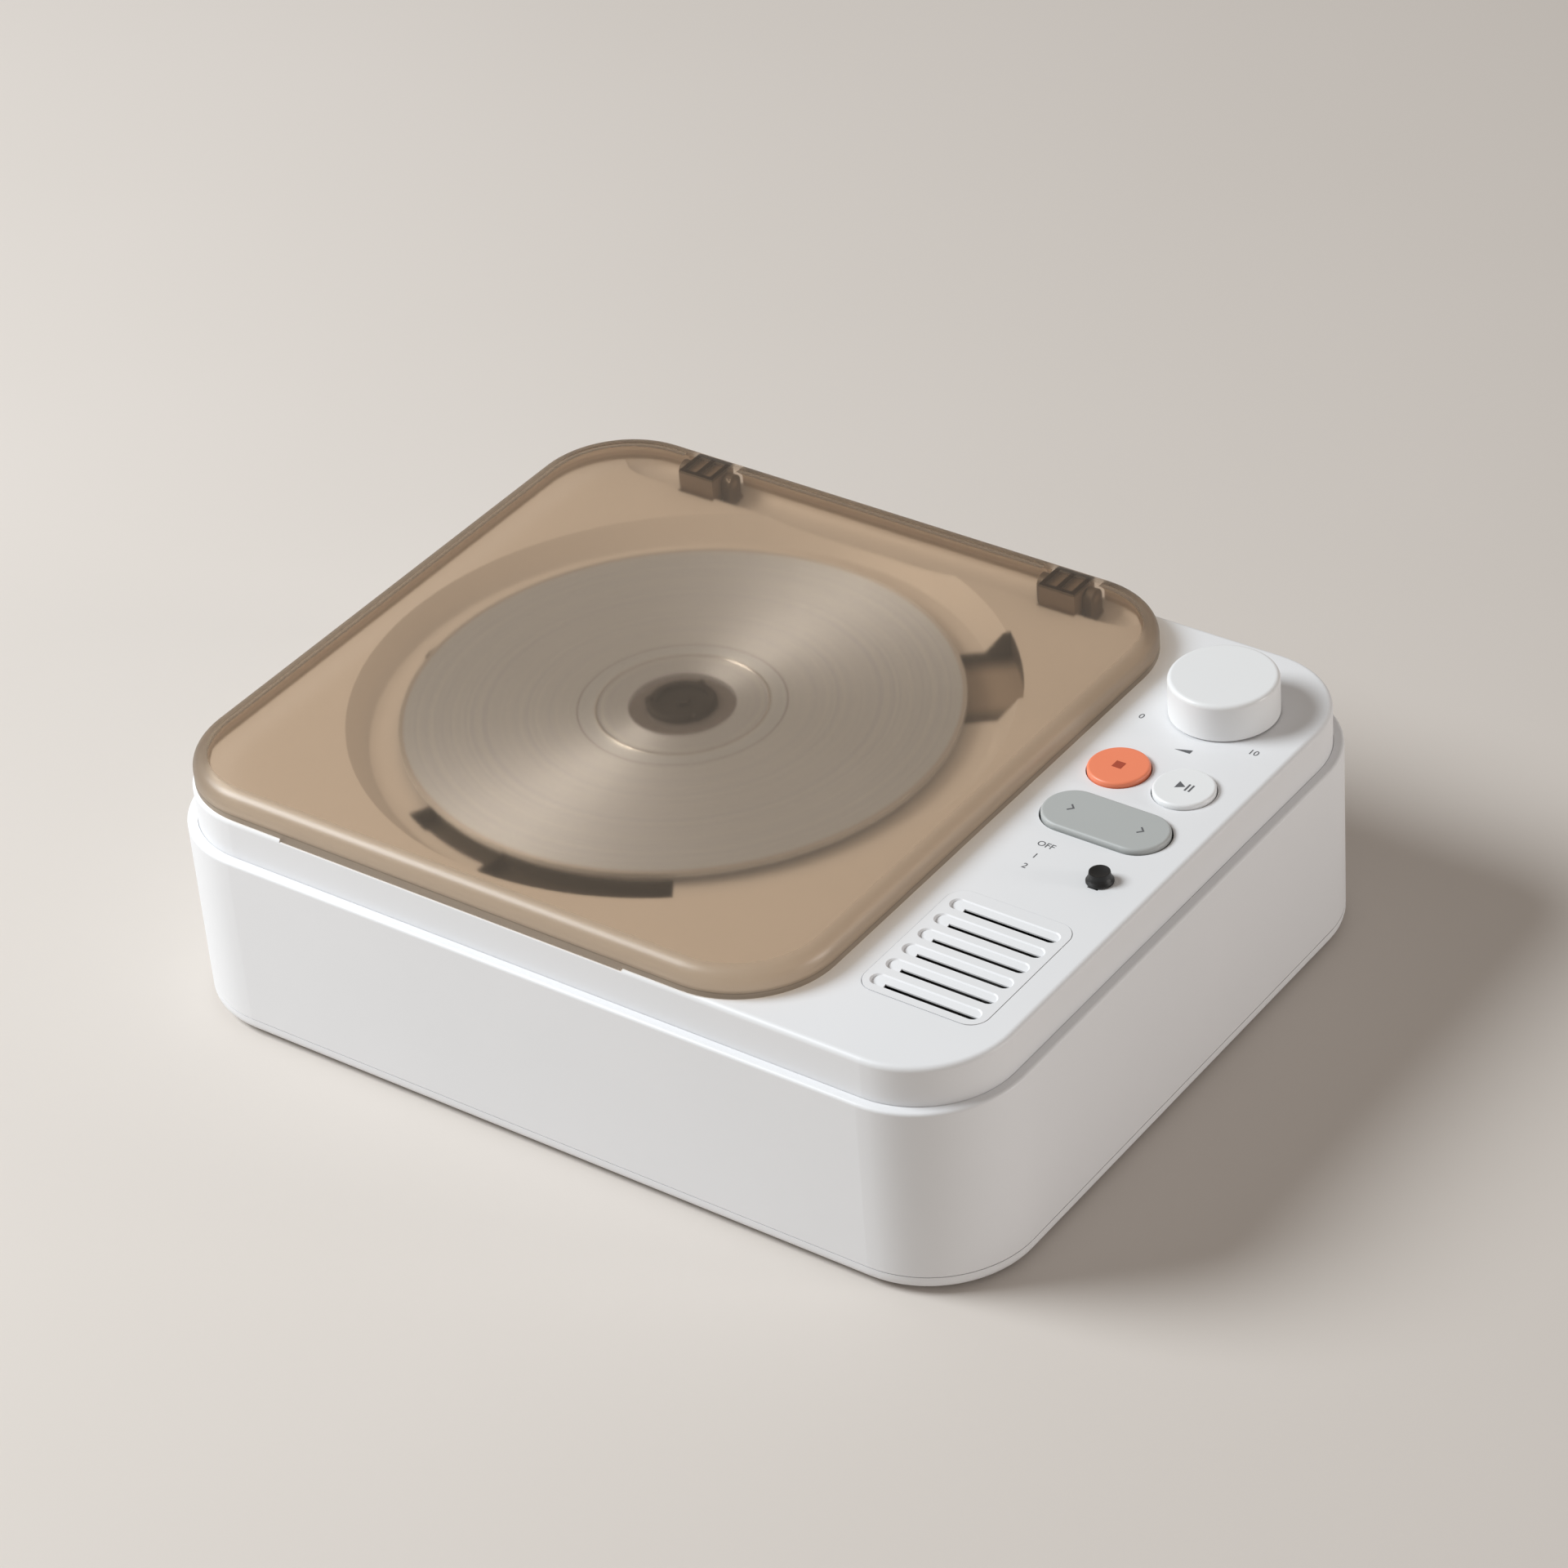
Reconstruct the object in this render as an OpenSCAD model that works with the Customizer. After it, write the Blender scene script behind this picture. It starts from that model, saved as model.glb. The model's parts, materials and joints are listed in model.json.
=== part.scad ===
// Flat-backed compact disc player that lies on a table or hangs on a wall.
// A tub, a base cover and a deck make the case. A translucent lid closes the disc well.
// X runs along the front, Y runs from the front to the hinge side, Z is up.
// The origin is under the middle of the case, on the surface that the feet stand on.

/* [Case] */
// Width of the case, left to right
body_w = 204.4; // [200:0.2:230]
// Depth of the case, front to hinge side
body_d = 162.4; // [162:0.2:190]
// Radius of the tub's upright corners
corner_r = 23.5; // [20:0.5:28]
// Height of the tub's rim above the table
tub_rim_z = 45.2; // [44:0.2:60]
// Height of the deck above the tub's rim
deck_rise = 9.4; // [8:0.2:14]
// Width of the flat rim that shows round the deck
ledge = 2.3; // [1.5:0.1:3]
// Wall thickness of the tub
tub_wall = 2.2; // [1.6:0.1:2.8]
// Thickness of the deck's top plate
deck_t = 2.2; // [2:0.1:3]
// Thickness of the deck's upright skirt
skirt_t = 2; // [1.4:0.1:2.6]
// How far the deck's skirt reaches down inside the tub
skirt_drop = 7.1; // [4:0.1:10]
// Thickness of the shelf that the skirt stands on
shelf_t = 2; // [1.2:0.1:3]
// How far the shelf stands in from the tub's outside
shelf_w = 4.5; // [4.3:0.1:6]
// Thickness of the base cover's floor
base_t = 2; // [1.8:0.1:3]
// Height of the base cover's rim
base_rim_h = 3.2; // [3:0.1:6]
// Open seam between the base cover and the tub
seam = 0.2; // [0.1:0.05:0.4]
// Rounding of the base cover's lower edge
base_edge_r = 2.2; // [1:0.1:2.8]
// Rounding of the tub's upper edge
tub_edge_r = 0.7; // [0.3:0.1:1.2]
// Rounding of the deck's upper edge
deck_edge_r = 1.2; // [0.5:0.1:1.8]
// Height of the base cover's locating lip above its rim
lip_h = 2; // [1:0.1:4]
// Thickness of the locating lip
lip_t = 1.2; // [0.8:0.1:2]
// Clearance between case parts that slide into each other
case_fit = 0.15; // [0.1:0.05:0.3]

/* [Feet, screws and wall slots] */
// How far the rubber feet hold the case off the table
foot_h = 1; // [0.6:0.1:3]
// Radius of a rubber foot
foot_r = 6; // [4:0.5:9]
// Depth of the recess that holds a foot
foot_recess = 0.8; // [0.4:0.1:1.2]
// Distance from the case's side to a foot's middle
foot_inset_x = 16.2; // [14:0.2:40]
// Distance from the case's front to a foot's middle
foot_inset_y = 29.2; // [29:0.2:50]
// Distance from the case's side to a screw post
post_inset_x = 14.2; // [13:0.2:16]
// Distance from the case's front to a screw post
post_inset_y = 15.2; // [14:0.2:17]
// Radius of the deck's screw posts
post_r = 4; // [3.5:0.1:4.5]
// Radius of a case screw's shank
case_screw_r = 1.23; // [1:0.01:1.5]
// Radius of a case screw's head
case_screw_head_r = 2.75; // [2.4:0.05:3]
// Length of a case screw below its head
case_screw_l = 11; // [8:0.5:18]
// Height of the screw bosses on the base cover
base_boss_h = 3; // [2.5:0.1:5]
// Distance from the middle to each wall slot
keyhole_x = 60; // [40:1:66]
// Distance from the middle to the wall slots' wide ends
keyhole_y = 16; // [0:1:18]
// Radius of a wall slot's wide end
keyhole_r = 4.5; // [3.5:0.1:5.5]
// Radius of a wall slot's narrow end
keyhole_slot_r = 2.2; // [1.6:0.1:3]
// Distance between the two ends of a wall slot
keyhole_l = 9; // [8:0.5:11]
// Room behind a wall slot for a screw's head
keyhole_room = 4; // [3:0.5:6]

/* [Lid] */
// Width of the lid
lid_w = 157.8; // [156:0.2:162]
// Radius of the lid's corners
lid_corner_r = 21.8; // [18:0.2:24]
// Height of the lid
lid_h = 6.2; // [6:0.1:8]
// Open seam under the lid
lid_gap = 0.2; // [0.15:0.05:0.4]
// Distance from the lid's front and rear edges to the deck's edges
lid_inset = 0.1; // [0:0.05:0.5]
// Distance from the lid's left edge to the deck's left edge
lid_left = 0.4; // [0:0.1:1]
// Wall thickness of the lid
lid_wall = 1.8; // [1.2:0.1:2.4]
// Thickness of the lid's top
lid_top_t = 1.5; // [1.4:0.1:2.2]
// Rounding of the lid's outer edge
lid_edge_r = 3.2; // [2.8:0.1:3.6]
// Distance from the lid's left edge to its deeper front lip
front_lip_x = 34.6; // [26:0.1:40]
// Length of the deeper front lip
front_lip_l = 86.8; // [60:0.5:92]
// How much deeper the front lip is
front_lip_drop = 0.8; // [0.4:0.1:1.2]

/* [Hinge] */
// Depth of the hinge line below the lid's top and ahead of its rear edge
hinge_in = 4.5; // [4.2:0.1:4.8]
// Width of a hinge lug
lug_w = 9; // [7:0.2:11]
// Front to back size of a hinge lug
lug_d = 8; // [7.6:0.1:8.2]
// Distance from the lid's left edge to the left lug
lug_left_x = 33.1; // [32:0.1:50]
// Distance from the lid's right edge to the right lug
lug_right_x = 29.6; // [29:0.1:50]
// How far a lug reaches below the hinge line
lug_drop = 3.1; // [2.6:0.1:3.2]
// Radius of a hinge pin
hinge_pin_r = 1; // [0.8:0.05:1.1]
// Radial running clearance of a turning or sliding bore
run_fit = 0.05; // [0.03:0.01:0.08]
// Radial clearance of a bore that holds its pin
hold_fit = 0.02; // [0.01:0.01:0.03]
// Radius of the ears that hold a hinge pin
ear_r = 2.2; // [1.9:0.05:2.3]
// Thickness of one ear
ear_t = 2; // [1.4:0.1:2.6]
// Side clearance between a lug and its ears
ear_gap = 0.4; // [0.3:0.05:0.6]
// Clearance round what swings with the lid
swing_gap = 0.3; // [0.2:0.05:0.5]

/* [Disc well] */
// Radius of the disc
disc_r = 60; // [58:0.5:60]
// Thickness of the disc
disc_t = 1.2; // [1:0.1:1.4]
// Radius of the disc's centre hole
disc_hole_r = 7.5; // [7:0.1:8]
// Depth of the disc's upper face below the deck
disc_sink = 2; // [1.6:0.1:2.4]
// Sideways place of the well's middle from the lid's middle
well_shift_x = -1.8; // [-4:0.1:0]
// Place of the well's middle, front to back
well_y = 2.9; // [1:0.1:3]
// Radius of the well at the deck's surface
well_top_r = 71; // [70:0.5:72]
// Radius of the well's floor
well_floor_r = 66.5; // [66.5:0.5:68]
// Depth of the well
well_depth = 5; // [4.6:0.1:5.2]
// Thickness of the well's floor and wall
well_t = 2; // [1.6:0.1:2.4]
// Radius of the hole for the turntable
spindle_hole_r = 13; // [12.5:0.1:15]
// Width of the window for the pickup
window_w = 22; // [20:0.5:24]
// Distance from the well's middle to the near end of the window
window_in = 20; // [19:0.5:21]
// Distance from the well's middle to the far end of the window
window_out = 62.5; // [62.5:0.5:64]
// Direction of the thumb notch from the well's middle
notch_angle = 39; // [30:1:45]
// Width of the thumb notch
notch_w = 25.5; // [18:0.5:28]
// Radius of the thumb notch's outer wall
notch_r = 72; // [72:0.5:73]
// Depth of the thumb notch's floor below the deck
notch_depth = 6.6; // [6:0.1:7.5]
// Distance from the well's middle at which notch and pockets begin
relief_in_r = 58; // [56:0.5:58]
// Outer radius of the long finger pocket at the front
pocket_r = 66; // [65.5:0.1:66.4]
// Outer radius of the short finger pocket and the bridge
small_pocket_r = 64; // [62:0.5:66]
// Depth of the finger pockets below the deck
pocket_depth = 8.4; // [8:0.1:9]
// Depth of the bridge between the pockets below the deck
bridge_depth = 6; // [5.5:0.1:7]

/* [Turntable and drive] */
// Radius of the turntable's flange
flange_r = 11.4; // [10:0.1:12]
// Thickness of the turntable's flange
flange_t = 1.5; // [1:0.1:1.6]
// Radius of the turntable's sleeve
sleeve_r = 4; // [3:0.1:5]
// Clearance between the hub and the disc's hole
hub_fit = 0.1; // [0.05:0.01:0.15]
// Height of the hub above the disc
hub_rise = 1.4; // [1.2:0.1:1.8]
// Radius of a hub ball
ball_r = 1; // [0.8:0.1:1]
// Radius of the spindle shaft
spindle_r = 1; // [0.8:0.05:1.2]
// Radius of the spindle motor
spindle_motor_r = 12; // [10:0.5:13]
// Height of the spindle motor
spindle_motor_h = 9; // [7:0.5:11]
// Thickness of the mechanism frame's plate
chassis_t = 2; // [1.6:0.1:2.4]
// Gap between the mechanism frame and the well's floor
chassis_drop = 5.1; // [5:0.1:6]
// Radius of a guide rod
rod_r = 1.5; // [1.2:0.1:1.6]
// Distance from the spindle line to each guide rod
rod_v = 19; // [18.5:0.1:19.5]
// Depth of the guide rods' middle below the frame plate
rod_drop = 2.7; // [2.6:0.1:3.2]
// Distance from spindle to lens when it reads the innermost track
lens_in = 25; // [24.5:0.1:26]
// Travel of the pickup sled
sled_travel = 33; // [30:0.5:33]
// Length of the pickup sled along the rods
sled_l = 14; // [12:0.5:14]
// Tooth module of the sled gears and rack
gear_module = 0.5; // [0.5:0.05:0.5]
// Teeth of the small gear that drives the rack
pinion_teeth = 12; // [12:1:12]
// Teeth of the large gear beside it
wheel_teeth = 24; // [24:1:24]
// Teeth of the gear on the sled motor
motor_teeth = 10; // [10:1:10]
// Play between meshing teeth along the pitch line
backlash = 0.15; // [0.1:0.01:0.2]
// Distance from the spindle to the gear posts, along the rods
gear_u = 14; // [14:0.5:15]
// Radius of the sled motor
sled_motor_r = 6; // [5:0.5:6]
// Height of the sled motor
sled_motor_h = 10; // [8:0.5:12]
// Radius of the sled motor's shaft
motor_shaft_r = 0.75; // [0.6:0.05:0.8]
// Radius of a rubber damper's flange
damper_r = 4.4; // [4:0.1:4.6]
// Radius of the lens holder
lens_holder_r = 3.4; // [3:0.1:3.6]
// Clearance round the lens holder
lens_gap = 0.5; // [0.4:0.05:0.8]
// Focus travel of the lens either way
lens_travel = 0.4; // [0.2:0.05:0.5]

/* [Controls] */
// Distance from the control strip's middle to the deck's right edge
strip_inset = 20.95; // [20.8:0.05:21.2]
// How far the buttons stand above the deck
button_rise = 1.2; // [0.9:0.1:2]
// Radius of the two round buttons
button_r = 6.6; // [5.5:0.1:6.8]
// Distance from the control strip's middle to each round button
button_dx = 7.8; // [7.8:0.1:8.5]
// Place of the round buttons, front to back
button_y = 26.4; // [26:0.1:30]
// Travel of the round buttons
button_travel = 0.8; // [0.4:0.1:0.9]
// Gap round the buttons
button_gap = 0.25; // [0.2:0.05:0.4]
// Place of the two-way rocker, front to back
rocker_y = 9; // [7:0.1:9.5]
// Distance from the rocker's middle to its round ends' middles
rocker_dx = 7.8; // [6:0.1:8.5]
// Radius of the rocker's round ends
rocker_end_r = 6.6; // [5.5:0.1:6.8]
// Gap round the rocker
rocker_gap = 0.4; // [0.35:0.05:0.6]
// Distance from the rocker's pivot to each of its feet
rocker_foot_dx = 9; // [7:0.1:9]
// Height of the rocker's pivot above the control board
rocker_pivot_h = 4; // [3.8:0.1:4.4]
// Place of the volume knob, front to back
knob_y = 55; // [52:0.5:55]
// Radius of the volume knob
knob_r = 11.7; // [10:0.1:13]
// Height of the volume knob
knob_h = 8.6; // [7:0.1:12]
// Gap between the volume knob and the deck
knob_gap = 0.4; // [0.3:0.05:0.8]
// Radius of the volume shaft
pot_shaft_r = 3; // [2.5:0.1:3.2]
// Radius of the potentiometer's body
pot_r = 8; // [7:0.5:9]
// Sideways place of the mode knob from the strip's middle
mode_dx = 9.3; // [8:0.1:10]
// Place of the mode knob, front to back
mode_y = -8; // [-10:0.1:-7.5]
// Travel of the mode knob either way
mode_travel = 1.8; // [1:0.1:2]
// Radius of the mode knob's foot
mode_r = 2.9; // [2.9:0.1:3.4]
// Radius of the mode knob's top
mode_top_r = 2.2; // [1.9:0.05:2.4]
// Height of the mode knob above the deck
mode_h = 2.5; // [2.2:0.1:4]
// Height of the space between the deck's plate and the control board
control_room = 6.8; // [6.8:0.1:7.4]
// Thickness of both circuit boards
board_t = 1.6; // [1:0.1:2]

/* [Loudspeaker] */
// Width of the grille plate
grille_w = 28.8; // [28.8:0.2:30]
// Front to back size of the grille plate
grille_d = 36.4; // [36:0.2:38]
// Corner radius of the grille plate
grille_corner_r = 4; // [2:0.5:6]
// Thickness of the grille plate
grille_t = 1.5; // [1:0.1:1.7]
// How far the grille plate stands above the deck
grille_rise = 0.1; // [0:0.05:0.3]
// Place of the grille, front to back
grille_y = -41.7; // [-42:0.1:-40]
// Number of slots in the grille
slot_count = 6; // [4:1:6]
// Distance between slots
slot_pitch = 5.6; // [4.6:0.1:5.6]
// Width of a slot
slot_w = 3; // [2.4:0.1:3.2]
// Length of a slot
slot_l = 25; // [20:0.5:25]
// Chamfer along a slot's upper edge
slot_edge = 0.3; // [0.1:0.05:0.4]
// How far the slots stand to the front of the grille plate's middle
slot_shift = 0.6; // [0:0.1:0.6]
// Radius of the loudspeaker's cone
cone_r = 12.5; // [11:0.5:12.5]
// Depth of the cone
cone_depth = 5; // [4:0.5:6]
// Radius of the magnet
magnet_r = 9; // [7:0.5:9]
// Height of the magnet
magnet_h = 5; // [4:0.5:7]

/* [Electronics] */
// Width of the main board
main_w = 88; // [84:1:92]
// Depth of the main board
main_d = 40; // [40:1:42]
// Place of the main board's middle, left to right
main_x = 34; // [34:0.5:36]
// Height of the main board above the base cover's floor
main_standoff = 5; // [4:0.5:7]
// Place of the headphone socket, left to right
audio_x = 30; // [26:0.5:32]
// Radius of the headphone socket's bore
audio_r = 1.8; // [1.78:0.01:1.9]
// Place of the power socket, left to right
power_x = 50; // [48:0.5:56]
// Radius of the power socket's bore
power_r = 2.8; // [2.75:0.05:3]
// Height of both sockets above the main board
socket_h = 4.9; // [4.6:0.1:6]

/* [Hidden] */
$fn = 64;

// How far a cutting shape runs past the surface that it opens
cut = 1;

// Outlines of the case
body_hw = body_w / 2;
body_hd = body_d / 2;
top_hw = body_hw - ledge;
top_hd = body_hd - ledge;
top_r = corner_r - ledge;

// Heights of the case
base_top = foot_h + base_t;
base_rim = foot_h + base_rim_h;
tub_z = base_rim + seam;
deck_top = tub_rim_z + deck_rise;
deck_under = deck_top - deck_t;
skirt_z = tub_rim_z - skirt_drop;
shelf_top = skirt_z - 0.1;

// Feet, screws and wall slots
foot_x = body_hw - foot_inset_x;
foot_y = body_hd - foot_inset_y;
post_x = body_hw - post_inset_x;
post_y = body_hd - post_inset_y;
post_z = base_top + base_boss_h;
boss_r = post_r + 1;
screw_head_h = 2;
counterbore_top = foot_h + 2.4;
keyhole_roof_t = 1.2;
keyhole_wall = 1.6;

// Lid and hinge
lid_x0 = -top_hw + lid_left;
lid_x1 = lid_x0 + lid_w;
lid_cx = (lid_x0 + lid_x1) / 2;
lid_hd = top_hd - lid_inset;
lid_z0 = deck_top + lid_gap;
lid_z1 = lid_z0 + lid_h;
lid_inside_z = lid_z1 - lid_top_t;
lid_inner_edge_r = 2.5;
hinge_y = lid_hd - hinge_in;
hinge_z = lid_z1 - hinge_in;
hinge_x = [lid_x0 + lug_left_x, lid_x1 - lug_right_x];
groove_gap = 0.2;
groove_wall = 1.8;
lid_swing = 85;
groove_r = groove_radius(0);
ear_in = lug_w / 2 + ear_gap;
ear_out = ear_in + ear_t;
lug_rear = hinge_y + 3;
lug_front = lug_rear - lug_d;

// Disc well
well_x = lid_cx + well_shift_x;
well_floor = deck_top - well_depth;
well_under = well_floor - well_t;
well_wall = well_t + 0.5;
relief_floor_t = 1.8;
disc_top = deck_top - disc_sink;
disc_under = disc_top - disc_t;

// Drive: u runs from the spindle towards the left side, v runs to the front
chassis_top = well_under - chassis_drop;
chassis_under = chassis_top - chassis_t;
chassis_u = [-20, 72];
chassis_v = [-37, 34];
rod_z = chassis_under - rod_drop;
rod_u = [12.5, 71];
rod_block_l = 4;
rod_block_w = 3;
damper_uv = [[-14, 28], [50, 28], [-14, -30], [50, -30]];
damper_hole_r = 3;
damper_flange_t = 1.5;
damper_boss_r = 3.2;
damper_boss_z = chassis_top + 2;
damper_screw_r = 1.2;
pitch = PI * gear_module;
pinion_pitch_r = gear_module * pinion_teeth / 2;
rack_v = -17.5;
rack_back_v = -13;
rack_t = 1.8;
rack_u = [-22, 30];
gear_v = rack_v - pinion_pitch_r;
motor_v = gear_v - gear_module * (wheel_teeth + motor_teeth) / 2;
gear_seat = 0.3;
wheel_z = chassis_top + gear_seat + 0.1;
wheel_t = 1.4;
gear_post_r = 1;
sled_block_v = 13;
sled_half_w = rod_v + 3.5;
sled_bar_top = chassis_under - 0.3;
sled_bar_under = rod_z - 2.4;
sled_top = well_under - 1;
rack_z = sled_top - 0.3 - rack_t;
pinion_t = rack_z + rack_t - wheel_z - wheel_t;
lens_seat_z = sled_top - 1.2;
lens_holder_z = lens_seat_z + lens_travel + 0.2;
lens_holder_h = 3.4;
lens_r = 1.9;

// Controls
strip_x = top_hw - strip_inset;
button_top = deck_top + button_rise;
board_top = deck_under - control_room;
board_under = board_top - board_t;
button_x = [strip_x - button_dx, strip_x + button_dx];
button_flange_t = 1.4;
button_flange_z = deck_under - 0.1 - button_flange_t;
button_stem_r = 2.2;
dome_top = button_flange_z - 0.7;
dome_r = 4;
rocker_pivot_z = board_top + rocker_pivot_h;
rocker_under = rocker_pivot_z + 1.4;
rocker_rib_w = 2.5;
rocker_ear_gap = 0.5;
rocker_pin_r = 1;
rocker_dome_h = 1.8;
rocker_foot_gap = 0.6;
knob_z = deck_top + knob_gap;
knob_wall = 1.6;
pot_h = control_room - 0.8;
pot_shaft_z0 = board_top + 1.4;
pot_shaft_z1 = knob_z + knob_h - 2.8;
mode_x = strip_x + mode_dx;
mode_stem = 1;
mode_slot_w = 1.2;
mode_slot_l = mode_stem + mode_travel + 0.1;
mode_switch_h = 3;
control_x = [strip_x - 17, strip_x + 17];
control_y = [-15, 64];
control_cut = [strip_x + 4.2, 60.5];
control_boss_xy = [[-13.5, 60], [13.7, 43], [-13.5, -11.5], [1, -11.5]];
board_screw_r = 1.1;
board_screw_head_r = 2.1;
board_screw_head_h = 1.4;
control_boss_r = 2.6;

// Loudspeaker
grille_seat = deck_top + grille_rise - grille_t;
speaker_hole_w = 26;
speaker_hole_d = 33.6;
speaker_boss_xy = [16.2, 12];
speaker_boss_h = 2;
speaker_flange_t = 1.2;
speaker_flange_w = 37;
speaker_flange_d = 37;
speaker_flange_z = deck_under - speaker_boss_h - speaker_flange_t;
basket_z = speaker_flange_z - cone_depth - 2.4;
basket_t = 1.2;

// Electronics
main_y1 = body_hd - tub_wall - 5;
main_y0 = main_y1 - main_d;
main_z = base_top + main_standoff;
main_top = main_z + board_t;
main_hole_dx = main_w / 2 - 5;
main_hole_y = [main_y0 + 5, main_y1 - 5];
socket_z = main_top + socket_h;
socket_face = body_hd - 0.4;
audio_body = [12, 13, 9.4];
power_body = [10, 12, 9.6];
audio_nose_r = 3.2;
power_nose_r = 4;
power_pin_r = 1;
flex_t = 0.4;

// A rectangle with round corners
module round_rect(w, d, r) {
  square([w, d - 2 * r], center = true);
  square([w - 2 * r, d], center = true);
  for (x = [-1, 1], y = [-1, 1]) {
    translate([x * (w / 2 - r), y * (d / 2 - r)]) circle(r);
  }
}

// What has to go from a profile to round its upper right corner at (x, y)
module round_over(x, y, r) {
  translate([x - r, y - r]) difference() {
    square([r + cut, r + cut]);
    circle(r);
  }
}

// Carries a profile round a rectangle with round corners; x = 0 is the corners' axis
module around(w, d, r) {
  dx = w / 2 - r;
  dy = d / 2 - r;
  for (k = [0 : 3]) {
    sx = k == 0 || k == 3 ? 1 : -1;
    sy = k < 2 ? 1 : -1;
    reach = k % 2 == 0 ? dx : dy;
    run = k % 2 == 0 ? dy : dx;
    translate([sx * dx, sy * dy, 0]) rotate([0, 0, 90 * k]) rotate_extrude(angle = 90) children();
    rotate([0, 0, 90 * k]) translate([reach, run, 0]) rotate([90, 0, 0]) linear_extrude(2 * run) children();
  }
}

// The flat middle between the corners' axes
module middle(w, d, r, z0, z1) {
  dx = w / 2 - r;
  dy = d / 2 - r;
  translate([-dx, -dy, z0]) cube([2 * dx, 2 * dy, z1 - z0]);
}

module box(x, y, z) {
  translate([x[0], y[0], z[0]]) cube([x[1] - x[0], y[1] - y[0], z[1] - z[0]]);
}

module pipe(r_out, r_in, z0, z1) {
  difference() {
    translate([0, 0, z0]) cylinder(r = r_out, h = z1 - z0);
    translate([0, 0, z0 - cut]) cylinder(r = r_in, h = z1 - z0 + 2 * cut);
  }
}

module rod_x(x0, x1, y, z, r) {
  translate([x0, y, z]) rotate([0, 90, 0]) cylinder(r = r, h = x1 - x0);
}

module rod_y(x, y0, y1, z, r) {
  translate([x, y0, z]) rotate([-90, 0, 0]) cylinder(r = r, h = y1 - y0);
}

// Copies at the four places (+-x, +-y)
module at_corners(x, y) {
  for (sx = [-1, 1], sy = [-1, 1]) {
    translate([sx * x, sy * y, 0]) children();
  }
}

module at_well() {
  translate([well_x, well_y, 0]) children();
}

// Copies at the loudspeaker's four screws
module at_speaker_bosses() {
  translate([strip_x, grille_y, 0]) at_corners(speaker_boss_xy[0], speaker_boss_xy[1]) children();
}

// The drive's own frame: u to the left, v to the front, from the spindle
module at_drive() {
  at_well() rotate([0, 0, 180]) children();
}

// ---------------------------------------------------------------- case

module base_profile() {
  difference() {
    union() {
      translate([0, foot_h]) square([corner_r, base_t]);
      translate([corner_r - tub_wall, foot_h]) square([tub_wall, base_rim_h]);
      translate([corner_r - tub_wall - case_fit - lip_t, foot_h]) square([lip_t, base_rim_h + lip_h]);
      translate([corner_r - tub_wall - case_fit, foot_h]) square([case_fit, base_t]);
    }
    translate([0, 2 * foot_h]) mirror([0, 1]) round_over(corner_r, foot_h, base_edge_r);
  }
}

module keyhole_shape(grow) {
  circle(keyhole_r + grow);
  translate([0, keyhole_l]) circle(keyhole_slot_r + grow);
  translate([-keyhole_slot_r - grow, 0]) square([2 * (keyhole_slot_r + grow), keyhole_l]);
}

module base_cover() color("white") {
  roof_z = base_top + keyhole_room;
  difference() {
    union() {
      around(body_w, body_d, corner_r) base_profile();
      middle(body_w, body_d, corner_r, foot_h, base_top);
      at_corners(post_x, post_y) translate([0, 0, foot_h]) cylinder(r = boss_r, h = post_z - foot_h);
      for (x = [-keyhole_x, keyhole_x]) translate([x, keyhole_y, foot_h]) {
        linear_extrude(roof_z + keyhole_roof_t - foot_h) round_rect_from(keyhole_r + keyhole_wall);
      }
      for (x = [-main_hole_dx, main_hole_dx], y = main_hole_y) {
        translate([main_x + x, y, foot_h]) cylinder(r = 3, h = main_z - foot_h);
      }
    }
    at_corners(foot_x, foot_y) translate([0, 0, foot_h - cut]) {
      cylinder(r = foot_r + 0.1, h = foot_recess + cut);
    }
    at_corners(post_x, post_y) {
      translate([0, 0, foot_h - cut]) {
        cylinder(r = case_screw_head_r + 0.35, h = counterbore_top - foot_h + cut);
      }
      translate([0, 0, foot_h]) cylinder(r = case_screw_r + 0.27, h = post_z);
    }
    for (x = [-keyhole_x, keyhole_x]) translate([x, keyhole_y, 0]) {
      translate([0, 0, foot_h - cut]) linear_extrude(base_t + 2 * cut) keyhole_shape(0);
      translate([0, 0, base_top]) linear_extrude(keyhole_room) round_rect_from(keyhole_r);
    }
    for (x = [-main_hole_dx, main_hole_dx], y = main_hole_y) {
      translate([main_x + x, y, base_top - 1]) cylinder(r = board_screw_r + hold_fit, h = main_z);
    }
  }
}

// A long hole as wide as the wall slot's wide end
module round_rect_from(r) {
  circle(r);
  translate([0, keyhole_l]) circle(r);
  translate([-r, 0]) square([2 * r, keyhole_l]);
}

module rubber_feet() color("dimgray") {
  at_corners(foot_x, foot_y) rotate_extrude() difference() {
    square([foot_r, foot_h + foot_recess]);
    mirror([0, 1]) round_over(foot_r, 0, 0.4);
  }
}

module case_screws() color("silver") {
  at_corners(post_x, post_y) {
    difference() {
      translate([0, 0, counterbore_top - screw_head_h]) cylinder(r = case_screw_head_r, h = screw_head_h);
      for (a = [0, 90]) rotate([0, 0, a]) {
        box([-1.6, 1.6], [-0.35, 0.35], [counterbore_top - screw_head_h - cut, counterbore_top - 1]);
      }
    }
    translate([0, 0, counterbore_top]) cylinder(r = case_screw_r, h = case_screw_l);
  }
}

module tub_profile() {
  difference() {
    union() {
      translate([corner_r - tub_wall, tub_z]) square([tub_wall, tub_rim_z - tub_z]);
      translate([corner_r - shelf_w, shelf_top - shelf_t]) square([shelf_w, shelf_t]);
    }
    round_over(corner_r, tub_rim_z, tub_edge_r);
  }
}

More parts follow.
